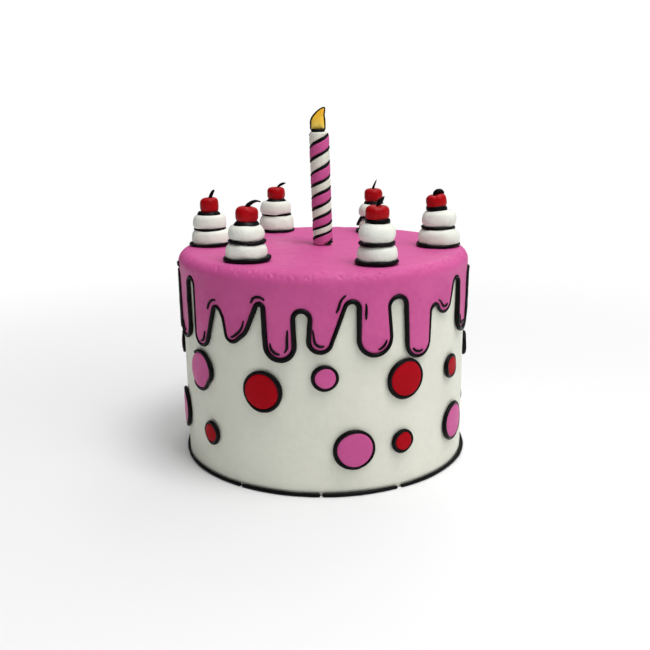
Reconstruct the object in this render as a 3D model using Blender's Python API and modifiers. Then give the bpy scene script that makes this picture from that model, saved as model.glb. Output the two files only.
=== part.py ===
"""A tall round birthday cake in white sugar paste. A pink icing drips down its wall, edged by a
black sugar rope; rimmed dots stud the wall, six two-tiered cream dollops with a red fruit stand
in a ring on top, and a twisted candle with a sugar flame stands in the middle.

Metres, +Z up, the front towards -Y. The origin is the middle of the underside."""

import math
import random
from typing import NamedTuple

import bmesh
import bpy
from mathutils import Vector, geometry

# Cake
BODY_RADIUS = 0.1048
CAKE_HEIGHT = 0.1527
EDGE_ROUND = 0.0058
ICING_THICK = 0.0016
GAP = 0.0003
SKIN_GAP = 0.0006
BODY_HEIGHT = CAKE_HEIGHT - ICING_THICK - SKIN_GAP
WALL_TOP = BODY_HEIGHT - EDGE_ROUND
EDGE_RUN = EDGE_ROUND * math.pi / 2
SHEET_REACH = WALL_TOP + EDGE_RUN + BODY_RADIUS - EDGE_ROUND
LINE_RADIUS = BODY_RADIUS + ICING_THICK
BODY_SIDES = 60
EDGE_RINGS = 3
FOOT_CHAMFER = 0.0008
WELD = 0.00001

# Drip line
TIP, CREST = 1, -1
LINE_CHORD = 0.008
FEWEST_CHORDS = 4
WIDE_TURN = 0.015
BACK_DRIPS = 10
BACK_TIP = (0.092, 0.106)
BACK_CREST = (0.124, 0.140)
BACK_TIP_RADIUS = (0.0088, 0.0112)
BACK_CREST_RADIUS = (0.0042, 0.0062)
BACK_LINE = (0.0011, 0.0018)
ICING_INSET = 0.0023
ICING_STEP = 0.0095
ICING_MARGIN = 0.0035
TOP_RINGS = ((0.049, 8), (0.0, 1))
ACCENT_RADIUS = 0.00085
ACCENT_POINTS = 4
ACCENT_TIP = 0.45
BACK_TIP_SHARE = 0.4
BACK_CREST_SHARE = 0.25
BACK_TIP_STARTS = (-0.016, 0.001)
BACK_TIP_REACH = (0.012, 0.017)
SIDE_CREST = 0.1415

# Dots
DOT_HEIGHT = 0.0030
DOT_ROPE = 0.00135
DOT_EDGE = 0.0004
WIDE_DOT = 0.020
DOT_SIDES = {True: 12, False: 9}

# Base ropes
BASE_ROPE = 0.0013
BASE_SEAMS = (-33.0, -1.4, 28.5, 95.0, 155.0, 212.0, 270.0)
BASE_GAPS = (0.5, 0.8, 1.9, 0.7, 0.6, 0.8, 0.6)
BASE_STEP = math.radians(7.2)
ROPE_END = 0.7

# Dollops
TOP_ROPE = 0.0013
DOLLOP_SIDES = 10
FOOT_ROPE_SIDES = 5
TIER_SHOULDER = 0.0028
TIER_WAIST = 0.0060
TIER_FOOT = 0.0001
TIER_TUCK = 0.0005
UPPER_TUCK = 0.0021
TIER_BEVEL = 0.0009
UPPER_SHOULDER = 0.0022
UPPER_BEVEL = 0.0016
SEAT_RISE = 0.0019
STALK_STEPS = 3
STALK_ARCH = 1.9

# Candle
CANDLE_PLACE = (-0.0001, 0.0055)
CANDLE_LEAN = math.radians(-1.6)
CANDLE_HEIGHT = 0.0820
LINES_CROSS_AT = (-0.0005, 0.0083, 0.0133, 0.0216, 0.0293, 0.0388, 0.0462, 0.0560, 0.0662, 0.0769)
STRAND_STEPS = 38
STRAND_RADIUS = 0.0074
STRAND_ROPE = 0.00125
GROOVE_HALF = 0.0022
GROOVE_BOTTOM = 0.0040
GROOVE_ROPE_PLACE = 0.0065
PITCH_SPAN = 0.005
COLLAR_RADIUS = 0.0052
COLLAR_HEIGHT = 0.0018
COLLAR_WAIST = 0.85
FLAME_DEPTH = 0.0030
FLAME_ROPE = 0.0006
FOOT_LINE_START = math.radians(12.0)
FOOT_LINE_SWEEP = math.radians(68.0)
FOOT_LINE_ROPE = 0.0007
FOOT_LINE_STEPS = 4


class Turn(NamedTuple):
    """One rounded turn of the drip line: a drip's tip or the crest of a gap between drips."""

    bend: int
    angle: float
    height: float
    radius: float
    line: float
    run: float


FRONT_TURNS = (
    Turn(CREST, -59.4, 0.1405, 0.0050, 0.0013, 0.0010),
    Turn(TIP, -52.0, 0.0952, 0.0082, 0.0012, 0.0018),
    Turn(CREST, -42.3, 0.1252, 0.0033, 0.0014, 0.0012),
    Turn(CREST, -46.7, 0.1285, 0.0150, 0.0013, 0.0012),
    Turn(TIP, -34.9, 0.1033, 0.0056, 0.0013, 0.0015),
    Turn(TIP, -35.8, 0.1047, 0.0160, 0.0016, 0.0017),
    Turn(CREST, -22.9, 0.1312, 0.0027, 0.0017, 0.0018),
    Turn(TIP, -15.6, 0.0948, 0.0098, 0.0018, 0.0017),
    Turn(CREST, -7.7, 0.1281, 0.0055, 0.0016, 0.0017),
    Turn(TIP, -1.3, 0.1008, 0.0074, 0.0015, 0.0013),
    Turn(CREST, 9.7, 0.1338, 0.0047, 0.0016, 0.0019),
    Turn(TIP, 18.3, 0.0972, 0.0114, 0.0015, 0.0010),
    Turn(CREST, 26.9, 0.1347, 0.0063, 0.0015, 0.0019),
    Turn(TIP, 36.4, 0.0920, 0.0100, 0.0012, 0.0007),
    Turn(CREST, 44.3, 0.1250, 0.0042, 0.0014, 0.0013),
    Turn(TIP, 50.3, 0.1180, 0.0080, 0.0011, 0.0009),
    Turn(CREST, 58.7, 0.1395, 0.0048, 0.0012, 0.0018),
)
RIGHT_DRIP = Turn(TIP, 66.4, 0.0995, 0.0103, 0.0017, 0.0015)
LEFT_DRIP = Turn(TIP, 293.6, 0.0960, 0.0094, 0.0015, 0.0016)


class Accent(NamedTuple):
    """A thin black stroke beside the drip line, from start to end along it past a turn's middle."""

    turn: int
    start: float
    end: float
    insets: tuple


FRONT_ACCENTS = (
    Accent(1, 0.0, 0.016, (0.0032, 0.0036, 0.0040)),
    Accent(2, -0.0060, 0.0010, (0.0050, 0.0050, 0.0044)),
    Accent(4, 0.001, 0.023, (0.0034, 0.0032, 0.0042)),
    Accent(6, -0.0038, 0.0014, (0.0036, 0.0048, 0.0038)),
    Accent(7, -0.017, 0.0, (0.0036, 0.0038, 0.0040)),
    Accent(7, 0.0057, 0.026, (0.0043, 0.0046, 0.0038)),
    Accent(9, -0.018, 0.0075, (0.0022, 0.0042, 0.0034)),
    Accent(10, -0.0122, -0.0030, (0.0042, 0.0038, 0.0052)),
    Accent(10, 0.005, 0.014, (0.0048, 0.0046, 0.0046)),
    Accent(11, 0.002, 0.015, (0.0035, 0.0036, 0.0036)),
    Accent(13, -0.011, 0.0044, (0.0036, 0.0034, 0.0036)),
    Accent(15, -0.0135, 0.0055, (0.0034, 0.0038, 0.0045)),
    Accent(17, -0.017, 0.008, (0.0044, 0.0042, 0.0048)),
)


class Dot(NamedTuple):
    """A rimmed disc on the wall: its finish, place round the cake, height and width over the rim."""

    finish: str
    angle: float
    height: float
    width: float


DOTS = (
    Dot("pink", -54.0, 0.0762, 0.0300),
    Dot("red", -22.9, 0.0719, 0.0290),
    Dot("pink", 0.3, 0.0834, 0.0181),
    Dot("red", 30.8, 0.0780, 0.0285),
    Dot("red", 56.4, 0.0766, 0.0176),
    Dot("red", -48.2, 0.0328, 0.0174),
    Dot("pink", 10.7, 0.0330, 0.0286),
    Dot("red", 29.7, 0.0342, 0.0172),
    Dot("pink", 59.6, 0.0341, 0.0290),
    Dot("pink", -75.5, 0.0370, 0.0300),
    Dot("pink", 89.0, 0.0777, 0.0190),
    Dot("red", 98.0, 0.0340, 0.0178),
    Dot("red", 124.0, 0.0720, 0.0288),
    Dot("pink", 136.0, 0.0320, 0.0292),
    Dot("pink", 163.0, 0.0790, 0.0176),
    Dot("red", 186.0, 0.0360, 0.0285),
    Dot("red", 214.0, 0.0750, 0.0180),
    Dot("pink", 272.0, 0.0810, 0.0175),
)


class Dollop(NamedTuple):
    """A cream dollop: its place on top, widths, heights of its levels and the fruit's stalk.

    The foot and the crease are (width, radius) of a rope; a shift is how far right a level sits."""

    place: tuple
    foot: tuple
    lower: float
    crease: tuple
    upper: float
    seat: float
    fruit: float
    heights: tuple
    stalk: tuple
    lower_shift: float = 0.0
    upper_shift: float = 0.0
    seat_shift: float = 0.0
    fruit_shift: float = 0.0
    tilt: float = 0.0


DOLLOPS = (
    Dollop((-0.0514, -0.0601), (0.0327, 0.0015), 0.0283, (0.0257, 0.00135), 0.0246, 0.0170, 0.0154,
           (0.0126, 0.0247, 0.0367), (0.0096, 0.0030, 0.0012), -0.0005, -0.0004, 0.0, 0.0005),
    Dollop((0.0352, -0.0756), (0.0292, 0.00145), 0.0263, (0.0248, 0.00125), 0.0250, 0.0167, 0.0158,
           (0.0130, 0.0274, 0.0384), (0.0045, 0.0056, 0.0015), 0.0005, 0.0004, 0.0006, 0.0002),
    Dollop((0.0848, -0.0051), (0.0322, 0.0012), 0.0305, (0.0253, 0.00105), 0.0250, 0.0160, 0.0148,
           (0.0133, 0.0265, 0.0372), (0.0066, 0.0022, 0.0016), 0.00065, 0.0006, -0.0014, -0.0016, 11.0),
    Dollop((0.0419, 0.0689), (0.0304, 0.0010), 0.0264, (0.0247, 0.0011), 0.0247, 0.0168, 0.0147,
           (0.0116, 0.0229, 0.0351), (0.0026, 0.0070, 0.0009), 0.0008, 0.0, -0.0004, -0.0006),
    Dollop((-0.0385, 0.0784), (0.0296, 0.00095), 0.0282, (0.0242, 0.00105), 0.0256, 0.0177, 0.0146,
           (0.0135, 0.0246, 0.0360), (0.0078, 0.0032, 0.0010), 0.0002, -0.0006, 0.0, 0.0002),
    Dollop((-0.0855, 0.0080), (0.0302, 0.00095), 0.0294, (0.0240, 0.0010), 0.0244, 0.0172, 0.0138,
           (0.01175, 0.0228, 0.03555), (0.0041, 0.0054, 0.0012), 0.0020, 0.0006, 0.0004, 0.0008),
)

FLAME_MIDDLE = (-0.0006, 0.0058)
FLAME_OUTLINE = (
    (0.0039, 0.0058), (0.0040, 0.0092), (0.0044, 0.0131), (0.0020, 0.0123), (-0.0008, 0.0102),
    (-0.0038, 0.0070), (-0.0053, 0.0044), (-0.0053, 0.0022), (-0.0053, 0.0001), (-0.0006, -0.0003),
    (0.0037, 0.0001), (0.0041, 0.0022),
)


def clear_scene():
    """Removes whatever the scene holds."""
    for obj in list(bpy.data.objects):
        bpy.data.objects.remove(obj, do_unlink=True)


def finish(name, colour, roughness, coat=0.0):
    """A plain Principled finish in the part's own colour."""
    material = bpy.data.materials.new(name)
    material.use_nodes = True
    shader = material.node_tree.nodes["Principled BSDF"]
    shader.inputs["Base Color"].default_value = (*colour, 1.0)
    shader.inputs["Roughness"].default_value = roughness
    shader.inputs["Coat Weight"].default_value = coat
    material.diffuse_color = (*colour, 1.0)
    return material


def add_object(name, data, material, collection):
    """Links mesh or curve data as a named object with its own finish."""
    obj = bpy.data.objects.new(name, data)
    data.materials.clear()
    data.materials.append(material)
    collection.objects.link(obj)
    return obj


def evaluated_mesh(obj):
    """A plain mesh of the object as its modifiers or bevel shape it, with loose caps welded."""
    bpy.context.view_layer.update()
    graph = bpy.context.evaluated_depsgraph_get()
    mesh = bpy.data.meshes.new_from_object(obj.evaluated_get(graph))
    work = bmesh.new()
    work.from_mesh(mesh)
    bmesh.ops.remove_doubles(work, verts=work.verts, dist=WELD)
    bmesh.ops.recalc_face_normals(work, faces=work.faces)
    work.to_mesh(mesh)
    work.free()
    return mesh


def turned(profile, sides, collection):
    """A mesh turned about +Z from (radius, height) points that run down the outer side."""
    mesh = bpy.data.meshes.new("profile")
    edges = [(i, i + 1) for i in range(len(profile) - 1)]
    mesh.from_pydata([(radius, 0.0, height) for radius, height in profile], edges, [])
    obj = bpy.data.objects.new("profile", mesh)
    collection.objects.link(obj)
    screw = obj.modifiers.new("Turn", "SCREW")
    screw.steps = screw.render_steps = sides
    screw.use_merge_vertices = True
    screw.merge_threshold = WELD
    result = evaluated_mesh(obj)
    bpy.data.objects.remove(obj)
    bpy.data.meshes.remove(mesh)
    return result


def smooth(mesh, angle=40.0):
    """Shades a mesh smooth but for its sharp edges."""
    mesh.shade_smooth()
    mesh.set_sharp_from_angle(angle=math.radians(angle))


def rope_curve(name, points, radii, depth, closed=False, resolution=1):
    """A tube through the points, its thickness depth times each point's radius."""
    curve = bpy.data.curves.new(name, "CURVE")
    curve.dimensions = "3D"
    curve.bevel_depth = depth
    curve.bevel_resolution = resolution
    curve.use_fill_caps = True
    spline = curve.splines.new("POLY")
    spline.points.add(len(points) - 1)
    for point, place, radius in zip(spline.points, points, radii):
        point.co = (*place, 1.0)
        point.radius = radius
    spline.use_cyclic_u = closed
    return curve


def fullness(angle):
    """How far the hand-shaped cake is off a true round at an angle, as a factor."""
    return 1.0 + 0.0020 * math.sin(2 * angle + 0.7) + 0.0011 * math.sin(5 * angle + 2.0)


def skin(angle, rise, lift):
    """A point by the cake's skin: angle round it, rise up the wall and over the edge, lift off it."""
    if rise <= WALL_TOP:
        out, up = BODY_RADIUS + lift, rise
    elif rise <= WALL_TOP + EDGE_RUN:
        lean = (rise - WALL_TOP) / EDGE_ROUND
        out = BODY_RADIUS - EDGE_ROUND + (EDGE_ROUND + lift) * math.cos(lean)
        up = WALL_TOP + (EDGE_ROUND + lift) * math.sin(lean)
    else:
        out, up = max(SHEET_REACH - rise, 0.0), BODY_HEIGHT + lift
    out *= fullness(angle)
    return Vector((out * math.sin(angle), -out * math.cos(angle), up))


def lay_on_wall(mesh, angle, height):
    """Bends a flat mesh, whose +Z is outwards, on to the wall at an angle and a height."""
    for vertex in mesh.vertices:
        across, up, out = vertex.co
        vertex.co = skin(math.radians(angle) + across / BODY_RADIUS, height + up, SKIN_GAP + out)
    mesh.update()


def back_turns():
    """The turns on the side away from the front: drips of uneven width, evenly spread."""
    draw = random.Random(11)
    turns = []
    for index in range(2 * BACK_DRIPS + 1):
        bend = CREST if index % 2 == 0 else TIP
        heights = BACK_CREST if bend == CREST else BACK_TIP
        radii = BACK_CREST_RADIUS if bend == CREST else BACK_TIP_RADIUS
        turns.append(Turn(bend, 0.0, draw.uniform(*heights), draw.uniform(*radii),
                          draw.uniform(*BACK_LINE), draw.uniform(*BACK_LINE)))
    turns[0], turns[-1] = turns[0]._replace(height=SIDE_CREST), turns[-1]._replace(height=SIDE_CREST)
    chain = [RIGHT_DRIP, *turns, LEFT_DRIP]
    steps = [first.radius + second.radius for first, second in zip(chain, chain[1:])]
    share = (LEFT_DRIP.angle - RIGHT_DRIP.angle) / sum(steps)
    angle = RIGHT_DRIP.angle
    placed = []
    for turn, step in zip(turns, steps):
        angle += step * share
        placed.append(turn._replace(angle=angle))
    return placed


def all_turns():
    """Every turn of the drip line, from the front's first crest once round the cake."""
    return [*FRONT_TURNS, RIGHT_DRIP, *back_turns(), LEFT_DRIP]


def turn_centre(turn):
    """The centre of a turn's circle on the wall laid flat."""
    return Vector((math.radians(turn.angle) * LINE_RADIUS, turn.height + turn.bend * turn.radius))


def heading_between(first, second):
    """The direction of the straight run from one turn's circle to the next."""
    across = turn_centre(second) - turn_centre(first)
    reach = second.bend * second.radius - first.bend * first.radius
    return math.atan2(across.y, across.x) - math.asin(reach / across.length)


def drip_line(turns, inset=0.0, chord=LINE_CHORD):
    """The drip line on the wall laid flat, moved into the icing by the inset.

    Returns its points, the rope's thickness at each, and the index of each turn's middle point."""
    points, lines, middles = [], [], []
    before = turns[-1]._replace(angle=turns[-1].angle - 360.0)
    afters = [*turns[1:], turns[0]._replace(angle=turns[0].angle + 360.0)]
    for turn, after in zip(turns, afters):
        start = heading_between(before, turn)
        sweep = (turn.bend * (heading_between(turn, after) - start)) % (2 * math.pi)
        radius = turn.radius - turn.bend * inset
        fewest = FEWEST_CHORDS if turn.radius < WIDE_TURN else 2
        count = max(fewest, round(sweep * min(turn.radius, WIDE_TURN) / chord))
        for step in range(count + 1):
            heading = start + turn.bend * sweep * step / count
            side = Vector((-math.sin(heading), math.cos(heading)))
            points.append(turn_centre(turn) - side * turn.bend * radius)
            away = abs(2 * step / count - 1)
            run = before.run if step * 2 < count else turn.run
            lines.append(turn.line + (run - turn.line) * away / 2)
        middles.append(len(points) - 1 - count // 2)
        before = turn
    return points, lines, middles


def on_wall(flat, lift):
    """A point of the flat-laid wall put back round the cake."""
    return skin(flat.x / LINE_RADIUS, flat.y, lift)


def drip_outline(turns, material, collection):
    """The black rope that edges the icing all the way round."""
    points, lines, _ = drip_line(turns)
    places = [on_wall(point, SKIN_GAP + line) for point, line in zip(points, lines)]
    curve = rope_curve("drip_outline", places, lines, 1.0, closed=True)
    return add_object("drip_outline", curve, material, collection)


def on_sheet(angle, rise):
    """A point of the icing rolled out flat, the middle of the cake's top at the origin."""
    reach = SHEET_REACH - rise
    return Vector((reach * math.sin(angle), -reach * math.cos(angle)))


def distance_to_edge(point, outline):
    """How far a sheet point is from the outline; negative outside it."""
    nearest, inside = math.inf, False
    for first, second in zip(outline, outline[1:] + outline[:1]):
        closest, share = geometry.intersect_point_line(point, first, second)
        closest = first.lerp(second, min(max(share, 0.0), 1.0))
        nearest = min(nearest, (point - closest).length)
        if (first.y > point.y) != (second.y > point.y):
            crossing = first.x + (point.y - first.y) / (second.y - first.y) * (second.x - first.x)
            inside ^= crossing > point.x
    return nearest if inside else -nearest


def icing_grid(turns):
    """Angles and rises of the points inside the icing sheet: up each drip, then ring by ring."""
    for turn in turns:
        rise = turn.height + turn.radius
        while turn.bend == TIP and rise < WALL_TOP - ICING_STEP / 2:
            yield math.radians(turn.angle), rise
            rise += ICING_STEP
    for ring in range(EDGE_RINGS + 1):
        for step in range(BODY_SIDES):
            yield 2 * math.pi * step / BODY_SIDES, WALL_TOP + EDGE_RUN * ring / EDGE_RINGS
    for radius, count in TOP_RINGS:
        for step in range(count):
            yield 2 * math.pi * step / count, SHEET_REACH - radius


def icing_sheet(turns):
    """The icing's outer face: a rolled sheet cut along the drip line and folded over the cake."""
    points, _, _ = drip_line(turns, ICING_INSET)
    places = [(point.x / LINE_RADIUS, point.y) for point in points]
    outline = [on_sheet(angle, rise) for angle, rise in places]
    count = len(outline)
    for angle, rise in icing_grid(turns):
        if distance_to_edge(on_sheet(angle, rise), outline) > ICING_MARGIN:
            places.append((angle, rise))
    sheet = [on_sheet(angle, rise) for angle, rise in places]
    edges = [(index, (index + 1) % count) for index in range(count)]
    _, _, faces, origins, _, _ = geometry.delaunay_2d_cdt(sheet, edges, [], 1, WELD)
    spots = [places[origin[0]] for origin in origins]
    mesh = bpy.data.meshes.new("pink_icing")
    lift = SKIN_GAP + ICING_THICK
    mesh.from_pydata([skin(angle, rise, lift) for angle, rise in spots], [], faces)
    return mesh


def back_accents(turns):
    """A stroke by most turns on the side away from the front."""
    draw = random.Random(5)
    strokes = []
    for index in range(len(FRONT_TURNS) + 1, len(turns), 2):
        crest, tip = index, index + 1
        if draw.random() < BACK_CREST_SHARE:
            strokes.append(Accent(crest, -0.005, 0.003, (0.0048, 0.0050, 0.0040)))
        if tip < len(turns) and draw.random() < BACK_TIP_SHARE:
            start = draw.choice(BACK_TIP_STARTS)
            strokes.append(Accent(tip, start, start + draw.uniform(*BACK_TIP_REACH), (0.0037, 0.0040, 0.0040)))
    return strokes


def accent_path(accent, line, middles, count=ACCENT_POINTS):
    """Points of a stroke on the flat-laid wall, beside the drip line."""
    travel = [0.0]
    for first, second in zip(line, line[1:]):
        travel.append(travel[-1] + (second - first).length)
    path = []
    for step in range(count):
        share = step / (count - 1)
        target = travel[middles[accent.turn]] + accent.start + (accent.end - accent.start) * share
        index = max(i for i in range(len(line) - 1) if travel[i] <= target)
        along = (line[index + 1] - line[index]).normalized()
        spot = line[index] + along * (target - travel[index])
        near, middle, far = accent.insets
        inset = near + (far - near) * share + (middle - (near + far) / 2) * math.sin(math.pi * share)
        path.append(spot + Vector((-along.y, along.x)) * inset)
    return path


def pink_icing(turns, material, collection):
    """The dripping icing with its black accent strokes fused on."""
    icing = add_object("pink_icing", icing_sheet(turns), material, collection)
    skin_depth = icing.modifiers.new("Thickness", "SOLIDIFY")
    skin_depth.thickness = ICING_THICK
    icing.data = evaluated_mesh(icing)
    icing.modifiers.clear()
    strokes = bpy.data.collections.new("accent_strokes")
    bpy.context.scene.collection.children.link(strokes)
    line, _, middles = drip_line(turns, chord=0.001)
    lift = SKIN_GAP + ICING_THICK + ACCENT_RADIUS * 0.2
    for number, accent in enumerate((*FRONT_ACCENTS, *back_accents(turns))):
        places = [on_wall(point, lift) for point in accent_path(accent, line, middles)]
        ends = len(places) - 1
        taper = [ACCENT_TIP + (1 - ACCENT_TIP) * math.sin(math.pi * step / ends) for step in range(ends + 1)]
        curve = rope_curve("stroke", places, taper, ACCENT_RADIUS, resolution=0)
        stroke = add_object(f"stroke_{number}", curve, material, strokes)
        solid = add_object(f"stroke_{number}_solid", evaluated_mesh(stroke), material, strokes)
        bpy.data.objects.remove(stroke)
        solid.hide_render = True
    union = icing.modifiers.new("Accents", "BOOLEAN")
    union.operation = "UNION"
    union.operand_type = "COLLECTION"
    union.collection = strokes
    union.solver = "EXACT"
    icing.data = evaluated_mesh(icing)
    icing.modifiers.clear()
    for obj in list(strokes.objects):
        bpy.data.objects.remove(obj)
    bpy.data.collections.remove(strokes)
    smooth(icing.data)
    return icing


def cake_body(material, collection):
    """The covered cake: a turned drum with a rounded top edge, slightly off round."""
    profile = [(0.0, BODY_HEIGHT)]
    for step in range(EDGE_RINGS + 1):
        lean = math.pi / 2 * (1 - step / EDGE_RINGS)
        out, up = EDGE_ROUND * math.cos(lean), EDGE_ROUND * math.sin(lean)
        profile.append((BODY_RADIUS - EDGE_ROUND + out, WALL_TOP + up))
    profile += [(BODY_RADIUS, FOOT_CHAMFER), (BODY_RADIUS - FOOT_CHAMFER, 0.0), (0.0, 0.0)]
    mesh = turned(profile, BODY_SIDES, collection)
    for vertex in mesh.vertices:
        swell = fullness(math.atan2(vertex.co.x, -vertex.co.y))
        vertex.co.x *= swell
        vertex.co.y *= swell
    smooth(mesh)
    return add_object("cake_body", mesh, material, collection)


def wall_dot(number, dot, material, collection):
    """A raised disc with its rope rim, bent on to the wall."""
    rim = dot.width / 2
    face = rim - 2.1 * DOT_ROPE
    profile = [(0.0, DOT_HEIGHT), (face - DOT_EDGE, DOT_HEIGHT - DOT_EDGE / 2),
               (face + DOT_EDGE, DOT_ROPE * 1.5), (rim - DOT_ROPE, DOT_ROPE * 2), (rim, DOT_ROPE),
               (rim - DOT_EDGE, 0.0), (0.0, 0.0)]
    mesh = turned(profile, DOT_SIDES[dot.width > WIDE_DOT], collection)
    lay_on_wall(mesh, dot.angle, dot.height)
    smooth(mesh)
    return add_object(f"dot_{dot.finish}_{number}", mesh, material, collection)


def base_rope(number, seam, next_seam, gaps, material, collection):
    """One length of the rope round the cake's foot, its ends rounded off."""
    start, end = math.radians(seam + gaps[0]), math.radians(next_seam - gaps[1])
    count = math.ceil((end - start) / BASE_STEP)
    places, radii = [], []
    for step in range(count + 1):
        angle = start + (end - start) * step / count
        places.append(skin(angle, BASE_ROPE, GAP + BASE_ROPE))
        radii.append(ROPE_END if step in (0, count) else 1.0)
    curve = rope_curve(f"base_rope_{number}", places, radii, BASE_ROPE)
    return add_object(f"base_rope_{number}", curve, material, collection)


def stand(name, place, height, collection):
    """An empty that carries the pieces of one topping."""
    empty = bpy.data.objects.new(name, None)
    empty.location = (*place, height)
    collection.objects.link(empty)
    return empty


def lower_tier_profile(dollop):
    """The lower tier with the rope in the crease above it, from the top's middle down."""
    crease, foot = dollop.crease[1], dollop.foot[1]
    ring, inner = dollop.crease[0] / 2 - crease, dollop.foot[0] / 2 - foot
    height = dollop.heights[0]
    return [(0.0, height), (ring - crease, height), (ring, height + crease), (ring + crease, height),
            (dollop.lower / 2 - TIER_BEVEL, height - TIER_SHOULDER), (dollop.lower / 2, TIER_WAIST),
            (inner - foot, 2 * foot + TIER_FOOT), (inner - foot - TIER_TUCK, 0.0), (0.0, 0.0)]


def upper_tier_profile(dollop):
    """The upper tier, seated inside the crease rope, with the rope that the fruit sits in."""
    seat = dollop.crease[0] / 2 - dollop.crease[1]
    ring = dollop.seat / 2 - TOP_ROPE
    low, high, _ = dollop.heights
    return [(0.0, high), (ring - TOP_ROPE, high), (ring, high + TOP_ROPE), (ring + TOP_ROPE, high),
            (dollop.upper / 2 - UPPER_BEVEL, high - UPPER_SHOULDER), (dollop.upper / 2, (low + high) / 2),
            (seat - GAP, low + SEAT_RISE), (seat - UPPER_TUCK, low + GAP), (0.0, low + GAP)]


def pushed(mesh, low, high, shift):
    """Moves the part of a mesh between two heights to the right."""
    for vertex in mesh.vertices:
        if low < vertex.co.z < high:
            vertex.co.x += shift


def fruit_profile(dollop):
    """The round fruit with a dimple at its stalk, its foot at zero."""
    radius = dollop.fruit / 2
    tall = dollop.heights[2] - dollop.heights[1] - 0.0002
    return [(0.0, tall * 0.92), (radius * 0.56, tall), (radius * 0.92, tall * 0.84), (radius, tall * 0.5),
            (radius * 0.92, tall * 0.2), (radius * 0.62, 0.0), (0.0, 0.0)]


def fruit(name, dollop, material, collection):
    """The red fruit with its arched stalk fused on."""
    mesh = turned(fruit_profile(dollop), DOLLOP_SIDES, collection)
    obj = add_object(name, mesh, material, collection)
    tall = dollop.heights[2] - dollop.heights[1]
    reach, rise, thick = dollop.stalk
    places, radii = [], []
    for step in range(STALK_STEPS + 1):
        share = step / STALK_STEPS
        arch = math.sin(share * STALK_ARCH) / math.sin(STALK_ARCH)
        places.append((reach * share, 0.0, tall * 0.8 + (rise + tall * 0.2) * arch))
        radii.append(1.0 if step in (1, 2) else ROPE_END)
    curve = rope_curve("stalk", places, radii, thick, resolution=0)
    stalk = add_object("stalk", curve, material, collection)
    solid = add_object("stalk_solid", evaluated_mesh(stalk), material, collection)
    union = obj.modifiers.new("Stalk", "BOOLEAN")
    union.operation = "UNION"
    union.object = solid
    union.solver = "EXACT"
    obj.data = evaluated_mesh(obj)
    obj.modifiers.clear()
    bpy.data.objects.remove(stalk)
    bpy.data.objects.remove(solid)
    smooth(obj.data)
    return obj


def build_dollop(number, dollop, finishes, collection):
    """A foot rope, two cream tiers and the fruit, stacked on their own stand."""
    base = stand(f"dollop_{number}", dollop.place, CAKE_HEIGHT + GAP, collection)
    width, thick = dollop.foot
    meet, high, _ = dollop.heights
    circle = []
    for step in range(FOOT_ROPE_SIDES + 1):
        around = step * 2 * math.pi / FOOT_ROPE_SIDES
        circle.append((width / 2 - thick + thick * math.cos(around), thick - thick * math.sin(around)))
    foot = turned(circle, DOLLOP_SIDES, collection)
    pieces = [add_object(f"dollop_{number}_foot_rope", foot, finishes["rope"], collection)]
    lower = turned(lower_tier_profile(dollop), DOLLOP_SIDES, collection)
    pushed(lower, TIER_WAIST - WELD, meet - WELD, dollop.lower_shift)
    upper = turned(upper_tier_profile(dollop), DOLLOP_SIDES, collection)
    pushed(upper, meet + SEAT_RISE + WELD, high - WELD, dollop.upper_shift)
    pushed(upper, high - WELD, math.inf, dollop.seat_shift)
    for name, mesh in (("lower_tier", lower), ("upper_tier", upper)):
        smooth(mesh)
        pieces.append(add_object(f"dollop_{number}_{name}", mesh, finishes["cream"], collection))
    top = fruit(f"dollop_{number}_fruit", dollop, finishes["fruit"], collection)
    tilt = math.radians(dollop.tilt)
    top.location = (dollop.fruit_shift, 0.0, high + GAP + math.sin(tilt) * dollop.fruit * 0.31)
    top.rotation_euler = (0.0, -tilt, 0.0)
    pieces.append(top)
    for piece in pieces:
        piece.parent = base
    return pieces


def twist(height):
    """The candle's twist at a height, in radians from where a pink strand faces the front."""
    marks = LINES_CROSS_AT
    low = 0
    while low < len(marks) - 2 and height > marks[low + 1]:
        low += 1
    return math.pi * (low - 0.5 + (height - marks[low]) / (marks[low + 1] - marks[low]))


def twist_heights():
    """Heights up the candle at even steps of twist, from its foot to its top."""
    heights = [CANDLE_HEIGHT * step / 1000 for step in range(1001)]
    first, last = twist(0.0), twist(CANDLE_HEIGHT)
    chosen = []
    for step in range(STRAND_STEPS + 1):
        target = first + (last - first) * step / STRAND_STEPS
        chosen.append(min(heights, key=lambda height: abs(twist(height) - target)))
    return chosen


def strand_section(height):
    """Corners of a strand's level section, (outwards, sideways), between the two grooves."""
    half = math.pi / 2
    pitch = 4 * math.pi * PITCH_SPAN / (twist(height + PITCH_SPAN) - twist(height - PITCH_SPAN))
    shoulder = half - 2 * math.pi * GROOVE_HALF / pitch
    side = []
    for angle, radius, inset in ((half, GROOVE_BOTTOM, GAP / 2), (shoulder, 0.95 * STRAND_RADIUS, 0.0),
                                 (shoulder / 3, STRAND_RADIUS, 0.0)):
        side.append((radius * math.cos(angle) + inset * math.sin(angle),
                     radius * math.sin(angle) - inset * math.cos(angle)))
    mirrored = [(out, -across) for out, across in side]
    return [(GAP / 2, 0.0), *mirrored, *reversed(side)]


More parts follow.
